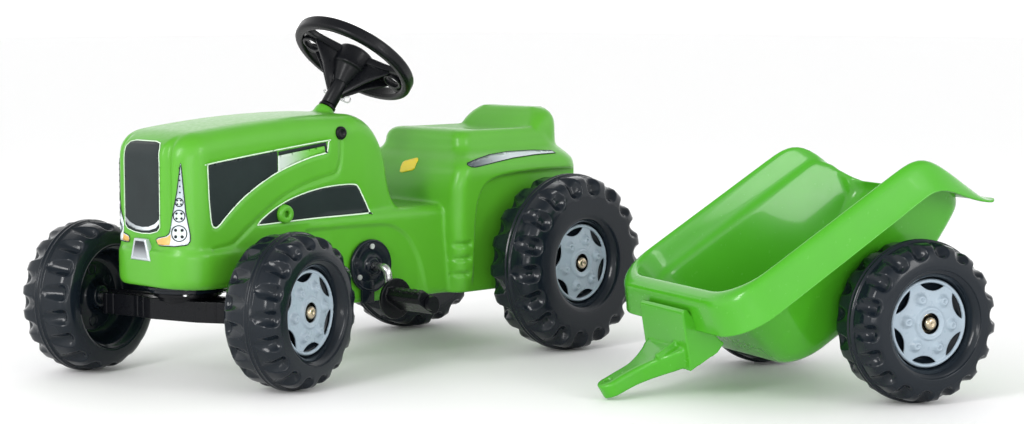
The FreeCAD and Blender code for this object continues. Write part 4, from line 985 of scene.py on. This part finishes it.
def tub_sheet():
    inner = ((40, -30, 70, 20, 20, 12.0), (92, -74, 128, 40, 36, 12.4), (101, -88, 137.5, 41, 37, 15.0),
             (108, -100, 144, 41, 37, 20.0), (113, -113, 148.5, 41, 35, 27.5),
             (116, -126, 152, 41, 33, 36.0), (119, -150, 156, 41, 30, 49.0), (122, -171, 160, 42, 26, 63.0),
             (126, -173.5, 165, 44, 24, 82), (130, -175, 170, 46, 22, 100),
             (134, -176.5, 174.5, 48, 20, 118), (136, -177.5, 177, 50, 19, 128),
             (137.6, -178, 178.6, 51, 18.5, 131.2), (140.6, -178.5, 181.3, 52, 18, 132.8),
             (142, -179, 182.7, 53, 18, 136), (145, -179.5, 185.5, 54, 17, 149),
             (147.4, -180, 188, 56, 16, 161), (148.4, -180.5, 189.2, 57, 15, 165.6))
    rim = ((150.4, -181, 191.6, 58, 14, 168.0), (152.6, -181.8, 197, 58, 13, 168.0),
           (155.2, -182.6, 205, 59, 12, 166.6), (157.6, -183.3, 210, 60, 11, 163.6),
           (159.4, -184, 212.6, 60, 10, 159.4), (162.2, -184.8, 214, 60, 10, 152),
           (166.2, -186, 216.2, 60, 10, 142), (170.6, -187.4, 219, 60, 10, 131),
           (173.8, -188.6, 221, 60, 10, 123.5), (174.8, -189, 221.8, 60, 10, 121.6))
    rings = [tub_ring(*r) for r in inner] + [tub_ring(*r, foot=True) for r in rim]
    dense = []
    for one, two in zip(rings, rings[1:]):
        gap = float(np.max(np.linalg.norm(two - one, axis=1)))
        count = max(1, int(gap / 7.0))
        dense += [one + (two - one) * k / count for k in range(count)]
    dense.append(rings[-1])
    verts = np.vstack(dense + [dense[0].mean(0)])
    cols = len(dense[0])
    faces = [list(f) for f in grid_faces(len(dense), cols, close_cols=True)]
    faces += [[(c + 1) % cols, c, len(verts) - 1] for c in range(cols)]
    return verts, faces


def trailer_tub():
    tub = make("trailer_tub_moulding", tub_sheet(), GREEN_GLOSS)
    modify(tub, "SMOOTH", factor=0.5, iterations=3)
    modify(tub, "SUBSURF", levels=1)
    modify(tub, "SOLIDIFY", thickness=0.0028, offset=-1.0, use_even_offset=True)
    set_coords(tub, on_trailer(coords(tub)))
    attach(tub, "trailer_tub", ["trailer_tub"])
    ribs = []
    for b in (-70.0, 70.0):
        a = np.radians(np.linspace(200, 340, 15))
        foot = [(15 * math.cos(t), 13 * math.sin(t) + 1) for t in a]
        outline = np.array([(-24, 14)] + foot + [(24, 14)])
        rings = [np.column_stack([np.full(len(outline), b + o), outline[:, 0] * k, outline[:, 1] * k])
                 for o, k in ((-4.2, 0.93), (-3.6, 1.0), (3.6, 1.0), (4.2, 0.93))]
        ribs.append(loft(rings))
    v, f = join(ribs)
    rib = make("trailer_axle_ribs", (on_trailer(v), f), GREEN_GLOSS)
    soften(rib, 0.6, 40)
    attach(rib, "trailer_tub")


def bar_section(s):
    """Half width, lower and upper height of the drawbar at a place along it."""
    half = float(spline((236, 250, 262, 275, 288, 298, 312, 338, 350),
                        (51, 48, 38, 29, 21.5, 17.5, 15.6, 15.6, 15.6), s))
    low = float(spline((236, 255, 290, 320, 352), (82, 82, 86.5, 92.5, 97), s))
    high = float(spline((236, 255, 290, 320, 352), (108, 108, 110, 114, 117.3), s))
    return half, low, high


def drawbar():
    rings = []
    for s in np.linspace(236, 338, 35):
        half, low, high = bar_section(s)
        ring = rounded_rect(-half, half, low, high, (3, 5, 5, 3), 6, 4)
        rings.append(np.column_stack([ring[:, 0], np.full(len(ring), -s), ring[:, 1]]))
    for t in np.radians(np.linspace(8, 84, 10)):
        s = 338 + 15.6 * math.sin(t)
        _, low, high = bar_section(s)
        half = 15.6 * math.cos(t)
        ring = rounded_rect(-half, half, low, high, (min(3, half * 0.5), min(5, half * 0.8),) * 2, 6, 4)
        rings.append(np.column_stack([ring[:, 0], np.full(len(ring), -s), ring[:, 1]]))
    parts = [loft(rings)]

    def crosswise(outline, x0, x1):
        pts = np.array(outline, float)
        return loft([np.column_stack([np.full(len(pts), x), -pts[:, 0], pts[:, 1]]) for x in (x0, x1)])

    face = [(255, 80), (226.5, 151), (222, 153.5), (217.5, 151), (219, 144), (247.5, 80)]
    parts.append(crosswise(face, -58, 58))
    gusset = [(255, 80), (226, 152), (218, 152), (214, 126), (208, 124), (196, 82), (210, 77.5)]
    for x0, x1 in ((-58, -53.5), (53.5, 58)):
        parts.append(crosswise(gusset, x0, x1))
    parts.append(crosswise([(255, 80), (210, 77.5), (196, 82), (196, 86), (250, 85)], -58, 58))
    rib = [(240, 107), (240, 112.5), (243, 114), (272, 115), (275, 113), (275, 107)]
    parts.append(crosswise(rib, 22, 30))
    obj = make("drawbar_moulding", join(parts), GREEN_GLOSS)
    modify(obj, "REMESH", mode="VOXEL", voxel_size=0.0012, use_smooth_shade=True)
    modify(obj, "SMOOTH", factor=0.5, iterations=7)
    v, f = revolve([(70, 0.01), (70, 6.5), (140, 6.5), (140, 0.01)], 40)
    tool = make("eye_tool", (upright(v) - [0, EYE_AT, 0], f), GREEN_GLOSS)
    modify(obj, "BOOLEAN", operation="DIFFERENCE", object=tool, solver="EXACT")
    bpy.data.objects.remove(tool, do_unlink=True)
    set_coords(obj, on_trailer(coords(obj)))
    shade_smooth(obj)
    attach(obj, "trailer_tub", ["drawbar"])


trailer_tub()
drawbar()


# ---- steering wheel ---------------------------------------------------------------------------------------
def steering():
    """Flattened rim, two forked side spokes with loops, drum, webs, long sleeve and the spring clip."""
    rim = rounded_rect(78.5, RIM_R, -11, 7.5, (5.5, 4.5, 5.0, 4.0), 8, 4)
    a = np.linspace(0, 2 * np.pi, 144, endpoint=False)
    ring = [np.column_stack([rim[:, 0] * math.cos(t), rim[:, 0] * math.sin(t), rim[:, 1]]) for t in a]
    parts = [(np.vstack(ring), grid_faces(len(ring), len(rim), close_rows=True, close_cols=True))]
    drum = [(-3, 0.01), (-46, 9.5), (-46, 12.8), (-44, 13.2), (-30, 19.5), (-22, 23.2), (-20, 26.2),
            (4, 27.0), (6.5, 26.2), (8.4, 23), (9.8, 16), (10.6, 8), (10.8, 0.01)]
    v, f = revolve(resample(drum[1:], 60), 72)
    parts.append((upright(v), f))
    sleeve = [(-83, 5.2), (-83, 10.4), (-82, 11.2), (-50, 11.4), (-44, 12.4), (-44, 5.2)]
    v, f = revolve(sleeve, 48)
    parts.append((upright(v), f))
    for side in (-1, 1):
        for lean in (-1, 1):
            centre = curve_through([(21, lean * 12), (38, lean * 15), (56, lean * 19.5), (70, lean * 27),
                                    (79.5, lean * 35)], 22)
            rows = []
            for k, (x, y) in enumerate(centre):
                w = 4.2 + 3.0 * (k / 21.0)
                d = centre[min(k + 1, 21)] - centre[max(k - 1, 0)]
                n = np.array([-d[1], d[0]]) / np.linalg.norm(d)
                high, low = 0.5 + 3.5 * (1 - k / 21.0), -7.5
                cross = [(-w, low), (w, low), (w, high - 1), (w - 1.2, high), (1.2 - w, high), (-w, high - 1)]
                rows.append(np.array([[side * (x + n[0] * o), y + n[1] * o, z] for o, z in cross]))
            parts.append(loft(rows))
            web = [(24, lean * 13, -3), (60, lean * 21, -6), (57, lean * 20, -11), (34, lean * 12, -34),
                   (10.5, lean * 5, -64), (10.5, lean * 5, -52)]
            web = np.array([[side * x, y, z] for x, y, z in web])
            parts.append(loft([web + [0, -lean * 0.9, 0], web + [0, lean * 0.9, 0]]))
        floor = np.array([(24, -15, -7), (52, -18, -7), (52, 18, -7), (24, 15, -7)], float) * [side, 1, 1]
        parts.append(loft([floor + [0, 0, -1.4], floor]))
        a = np.linspace(0, 2 * np.pi, 40, endpoint=False)
        loop = np.column_stack([side * (64 + 12.5 * np.cos(a)), 15.5 * np.sin(a), np.full(40, -7.0)])
        section = rounded_rect(-2.2, 2.2, -3.5, 3.5, (1, 1, 1, 1), 3, 1)
        rings = []
        for k, c in enumerate(loop):
            out = np.array([side * math.cos(a[k]), math.sin(a[k]), 0])
            rings.append(c + section[:, :1] * out + section[:, 1:] * np.array([0, 0, 1.0]))
        parts.append((np.vstack(rings), grid_faces(40, len(section), close_rows=True, close_cols=True)))
    v, f = join(parts)
    wheel = make("steering_wheel_moulding", (on_column(v), f), BLACK)
    soften(wheel, 0.5, 45)
    attach(wheel, "steering", ["steering_wheel"])
    z = -68.0
    wire = [(-13.6, 0, z + 4), (-15.5, 0, z + 2.6), (-15.5, 0, z), (-12, 0, z), (0, 0, z), (12, 0, z),
            (17, 0, z)]
    a = np.radians(np.linspace(-80, 235, 22))
    wire += [(20 + 4.6 * math.cos(t), 0, z + 4.6 + 4.6 * math.sin(t)) for t in a]
    wire += [(14.5, 0, z + 2.5), (12.5, 0, z + 2.2)]
    v, f = tube(resample(wire, 90), 0.95, 10)
    make("column_clip_wire", (on_column(v), f), STEEL, "steering", ["column_clip"])


steering()


# ---- running gear ---------------------------------------------------------------------------------------
def cylinder(a, b, radius, count=40):
    a, b = np.array(a, float), np.array(b, float)
    return tube(np.array([a, b]), radius, count)


def drill(obj, holes):
    """Cut round holes through a finished piece; each hole is (end, end, radius)."""
    for a, b, radius in holes:
        cutter = make("cutter", cylinder(a, b, radius), BLACK)
        modify(obj, "BOOLEAN", operation="DIFFERENCE", object=cutter, solver="EXACT")
        bpy.data.objects.remove(cutter)


def moulded(name, pieces, material, voxel, passes, turn=None):
    """Closed pieces grown together into one moulding with soft edges."""
    obj = make(name, join(pieces), material)
    modify(obj, "REMESH", mode="VOXEL", voxel_size=voxel / 1000, use_smooth_shade=True)
    modify(obj, "SMOOTH", factor=0.5, iterations=passes)
    if turn:
        set_coords(obj, turn(coords(obj)))
    return obj


def slab(outline, z0, z1):
    """Upright-sided block over a plan outline."""
    low = np.array([[x, y, z0] for x, y in outline], float)
    return loft([low, low + [0, 0, z1 - z0]])


def front_axle():
    """Box beam, bulged in the middle and grooved, with its turning disc and the forked arm behind."""
    plan = [(-132, 21), (-132, -19), (-129, -21), (-74, -23), (-46, -31), (-38, -33), (38, -33), (46, -31),
            (74, -23), (129, -21), (132, -19), (132, 21), (70, 23), (44, 30), (-44, 30), (-70, 23)]
    beam = moulded("axle_beam", [slab(plan, 84, 113), cylinder((-134, 0, 105), (134, 0, 105), 10.5)], BLACK,
                   1.1, 2)
    p, n = coords(beam), normals(beam)
    for x in (123, 111, 66, 53, -53, -66, -111, -123):
        near = np.exp(-((p[:, 0] - x) / 0.8) ** 2) * (n[:, 1] < -0.5)
        p[:, 1] += 1.2 * near
    hollow = (n[:, 2] < -0.6) * (np.abs(p[:, 0]) < 122) * (p[:, 1] > -17) * (p[:, 1] < 17)
    p[:, 2] += 8.0 * hollow
    set_coords(beam, p)
    neck = [(110, 6.3), (122, 6.3), (122, 44.5), (121.2, 46), (116.4, 46), (116, 45.4), (116, 40), (110, 40)]
    v, f = revolve(neck, 72, closed_profile=True)
    disc = (upright(v), f)
    arm = []
    for side in (-1, 1):
        arm.append(box_mesh((side * 12.4 - 4.4, 15, 113), (side * 12.4 + 4.4, 131, 118)))
    arm += [box_mesh((-16.8, 15, 113), (16.8, 82, 118)), box_mesh((-16.8, 122, 113), (16.8, 131, 118))]
    top = make("axle_turning_disc", join([disc] + arm), BLACK)
    soften(top, 0.6, 40)
    set_coords(top, on_axle(coords(top) + [0, FRONT_Y, 0]))
    set_coords(beam, on_axle(coords(beam) + [0, FRONT_Y, 0]))
    drill(beam, [((0, FRONT_Y, 99), (0, FRONT_Y, 130), 10.4)])
    attach(beam, "front_axle", ["front_axle_bridge"])
    attach(top, "front_axle")


def turntable():
    """Stepped glossy disc under the nose."""
    profile = [(122.5, 6.2), (122.5, 54), (123.1, 55), (126.6, 55), (127.2, 55.6), (127.4, 60.8), (128, 62),
               (FLOOR_Z, 62), (FLOOR_Z, 6.2)]
    v, f = revolve(profile, 96, closed_profile=True)
    points = upright(v) + [0, FRONT_Y, 0]
    make("turntable_plate", (points, f), BLACK_WHEEL, "tractor_body", ["turntable_disc"],
         smooth=False)


def crank():
    """One bent bar with soft elbows, and the round plates that carry its axle."""
    a = math.radians(CRANK_ANGLE)
    fold = np.array([0, math.sin(a), -math.cos(a)])
    path = []
    for side in (-1, 1):
        centre, pin = CRANK + [side * ARM_X, 0, 0], CRANK + [side * ARM_X, 0, 0] + side * CRANK_THROW * fold
        bend = np.linspace(0, math.pi / 2, 8)
        half = [centre + [side * 9 * (math.sin(t) - 1), 0,
                          0] + side * 9 * (1 - math.cos(t)) * fold for t in bend]
        half += [pin + [side * 9 * (1 - math.cos(t)), 0,
                        0] + side * 9 * (math.sin(t) - 1) * fold for t in bend]
        half += [pin + [side * (PEDAL_X[1] + 7 - ARM_X), 0, 0]]
        path = half[::-1] + path if side < 0 else path + half
    bar = make("crank_bar", tube(np.array(path), 6.0, 24), STEEL)
    attach(bar, "crank", ["crank_rod"])
    x = LOWER_W
    plate = [(x, 6.3), (x, 37.5), (x + 3.2, 37.5), (x + 4.6, 36.6), (x + 5, 35.2), (x + 5, 33),
             (x + 4.2, 32), (x + 4.2, 15), (x + 5.2, 13.2), (x + 8.4, 12), (x + 9, 11.2), (x + 9, 6.3)]
    v, f = revolve(plate, 72, closed_profile=True)
    stem = box_mesh((x, -18, BELLY_Z + 1 - CRANK[2]), (x + 4.8, 4, -20))
    for side, hand in ((1, "left"), (-1, "right")):
        mesh = join([(outward(v, side), f), (outward(stem[0], side), stem[1])])
        piece = make(f"crank_plate_{hand}", (mesh[0] + [0, CRANK[1], CRANK[2]], mesh[1]), BLACK_WHEEL,
                     smooth=False)
        soften(piece, 0.4, 40)
        attach(piece, "tractor_body", [f"crank_bearing_{hand}"])


def pedals():
    """Ribbed blocks with a round weight inside and a bore for the crank pin."""
    a = math.radians(CRANK_ANGLE)
    x0, x1 = PEDAL_X
    block = [(-21, -5), (-15, -10), (15, -10), (21, -5), (22, 5), (15, 10), (-15, 10), (-22, 5)]
    core = loft([np.array([[x, y, z] for y, z in block], float) for x in (x0 + 2, x1)])
    pieces = [core, cylinder((x0 - 1, 0, 0), (x0 + 4, 0, 0), 28.5, 64)]
    upper = [(23.5, 3), (16, 11.6), (-16, 11.6), (-23.5, 3), (-20, -1), (20, -1)]
    for k in range(5):
        x = x0 + 8 + 12.5 * k
        pieces.append(loft([np.array([[q, y, z] for y, z in upper], float) for q in (x, x + 8.5)]))
    for side, hand in ((1, "left"), (-1, "right")):
        pin = CRANK + [0, side * CRANK_THROW * math.sin(a), -side * CRANK_THROW * math.cos(a)]

        def stand(p, own_side=side, own_pin=pin):
            return outward(p @ rot("X", PEDAL_TILT).T, own_side) + own_pin

        pedal = moulded(f"pedal_block_{hand}", pieces, BLACK, 0.9, 2, stand)
        ends = [pin + [side * 120, 0, 0], pin + [side * 214, 0, 0]]
        drill(pedal, [(ends[0], ends[1], 6.3)])
        attach(pedal, f"pedal_{hand}", [f"pedal_{hand}"])


def towing_jaw():
    """Back plate, two rounded cheeks and the lift-out pin."""
    plate = slab([(-32, 379.5), (32, 379.5), (32, 386), (-32, 386)], 186, 240)
    parts = [plate]
    around = [(16 * math.cos(t), JAW_PIN_Y + 16 * math.sin(t)) for t in np.linspace(0, math.pi, 24)]
    for z in (193.5, 225.5):
        parts.append(slab([(20, 384), (16, 410)] + around + [(-16, 410), (-20, 384)], z, z + 6))
    parts.append(slab([(-3, 384), (3, 384), (3, 428), (-3, 428)], 197, 228))
    jaw = moulded("towing_jaw", parts, BLACK, 1.0, 2)
    drill(jaw, [((0, JAW_PIN_Y, 185), (0, JAW_PIN_Y, 240), 5.9)])
    attach(jaw, "tractor_body", ["tow_hitch"])
    pin = [(190, 0.01), (190, 4), (191.5, 5.5), (231.6, 5.5), (231.6, 9), (235, 9), (236, 4), (243, 4),
           (244.5, 6.4), (247, 8), (250, 8.5), (253, 8), (256, 6.2), (258.2, 2.6), (258.5, 0.01)]
    v, f = revolve(pin, 32)
    make("towing_pin", (upright(v) + [0, JAW_PIN_Y, 0], f), STEEL, "tractor_body", ["hitch_pin"])


front_axle()
turntable()
crank()
pedals()
towing_jaw()


# ---- carried-over CAD nodes get their materials -------------------------------------------------------
def dress(node, material):
    data = frame["nodes"][node].data
    data.materials.clear()
    data.materials.append(material)


LOOKS = {"green_body": GREEN, "green_trailer": GREEN_GLOSS, "black_wheel": BLACK_WHEEL,
         "black_plastic": BLACK, "cap_grey": CAP_GREY, "steel": STEEL, "nut_brassy": NUT,
         "sticker_dark": FILM_DARK, "sticker_silver": FILM_SILVER, "sticker_yellow": FILM_YELLOW}
for part in frame["record"]["subparts"]:
    dress(part["node"], LOOKS[part["material_slot"]])
ZINC = shader("zinc", (0.82, 0.83, 0.84), 0.36, metal=0.85, bump=0.2, grain=0.9, mottle=0.05)
for screws in ("bearing_screws", "turntable_screws", "tow_hitch_screws", "drawbar_screws"):
    dress(screws, ZINC)


# ---- floor, light, camera -------------------------------------------------------------------------------
def studio():
    world = bpy.data.worlds.new("studio")
    bpy.context.scene.world = world
    world.use_nodes = True
    nodes, links = world.node_tree.nodes, world.node_tree.links
    background = nodes["Background"]
    background.inputs["Strength"].default_value = 1.0
    direction = nodes.new("ShaderNodeTexCoord")
    split = nodes.new("ShaderNodeSeparateXYZ")
    links.new(direction.outputs["Generated"], split.inputs["Vector"])
    ramp = nodes.new("ShaderNodeMapRange")
    ramp.interpolation_type = "SMOOTHSTEP"
    ramp.inputs["From Min"].default_value, ramp.inputs["From Max"].default_value = 0.35, 0.95
    ramp.inputs["To Min"].default_value, ramp.inputs["To Max"].default_value = 1.56, 0.50
    links.new(split.outputs["Z"], ramp.inputs["Value"])
    tone = nodes.new("ShaderNodeCombineColor")
    for channel in ("Red", "Green", "Blue"):
        links.new(ramp.outputs["Result"], tone.inputs[channel])
    links.new(tone.outputs["Color"], background.inputs["Color"])
    size = 30.0
    data = bpy.data.meshes.new("floor")
    data.from_pydata([(-size, -size, 0), (size, -size, 0), (size, size, 0), (-size, size, 0)], [],
                     [(0, 1, 2, 3)])
    floor = bpy.data.objects.new("floor", data)
    bpy.context.scene.collection.objects.link(floor)
    data.materials.append(shader("floor_pale", (0.97, 0.97, 0.97), 0.6, spec=0.2))
    for name, place_at, watts, wide, high in (("key", (0.6, -3.4, 1.7), 56, 0.7, 1.7),
                                              ("side", (3.6, 0.4, 1.3), 26, 0.7, 1.6),
                                              ("low", (2.7, -2.0, 0.22), 13, 1.8, 0.3),
                                              ("back", (-1.8, 2.2, 2.8), 7, 1.6, 1.2)):
        light = bpy.data.lights.new(name, "AREA")
        light.shape = "RECTANGLE"
        light.energy, light.size, light.size_y = watts, wide, high
        lamp = bpy.data.objects.new(name, light)
        lamp.location = place_at
        lamp.rotation_mode = "QUATERNION"
        lamp.rotation_quaternion = (Vector((0, 0, 0.2)) - Vector(place_at)).to_track_quat("-Z", "Y")
        bpy.context.scene.collection.objects.link(lamp)


def camera():
    data = bpy.data.cameras.new("camera")
    data.sensor_width, data.lens = 36.0, 80.16
    cam = bpy.data.objects.new("camera", data)
    bpy.context.scene.collection.objects.link(cam)
    cam.location = place((2471.64, -2143.15, 505.59))
    azimuth, elevation = math.radians(44.868), math.radians(5.175)
    cam.rotation_euler = (math.radians(90) - elevation, 0, azimuth)
    bpy.context.scene.camera = cam


studio()
camera()
bpy.context.scene.view_settings.view_transform = "Standard"
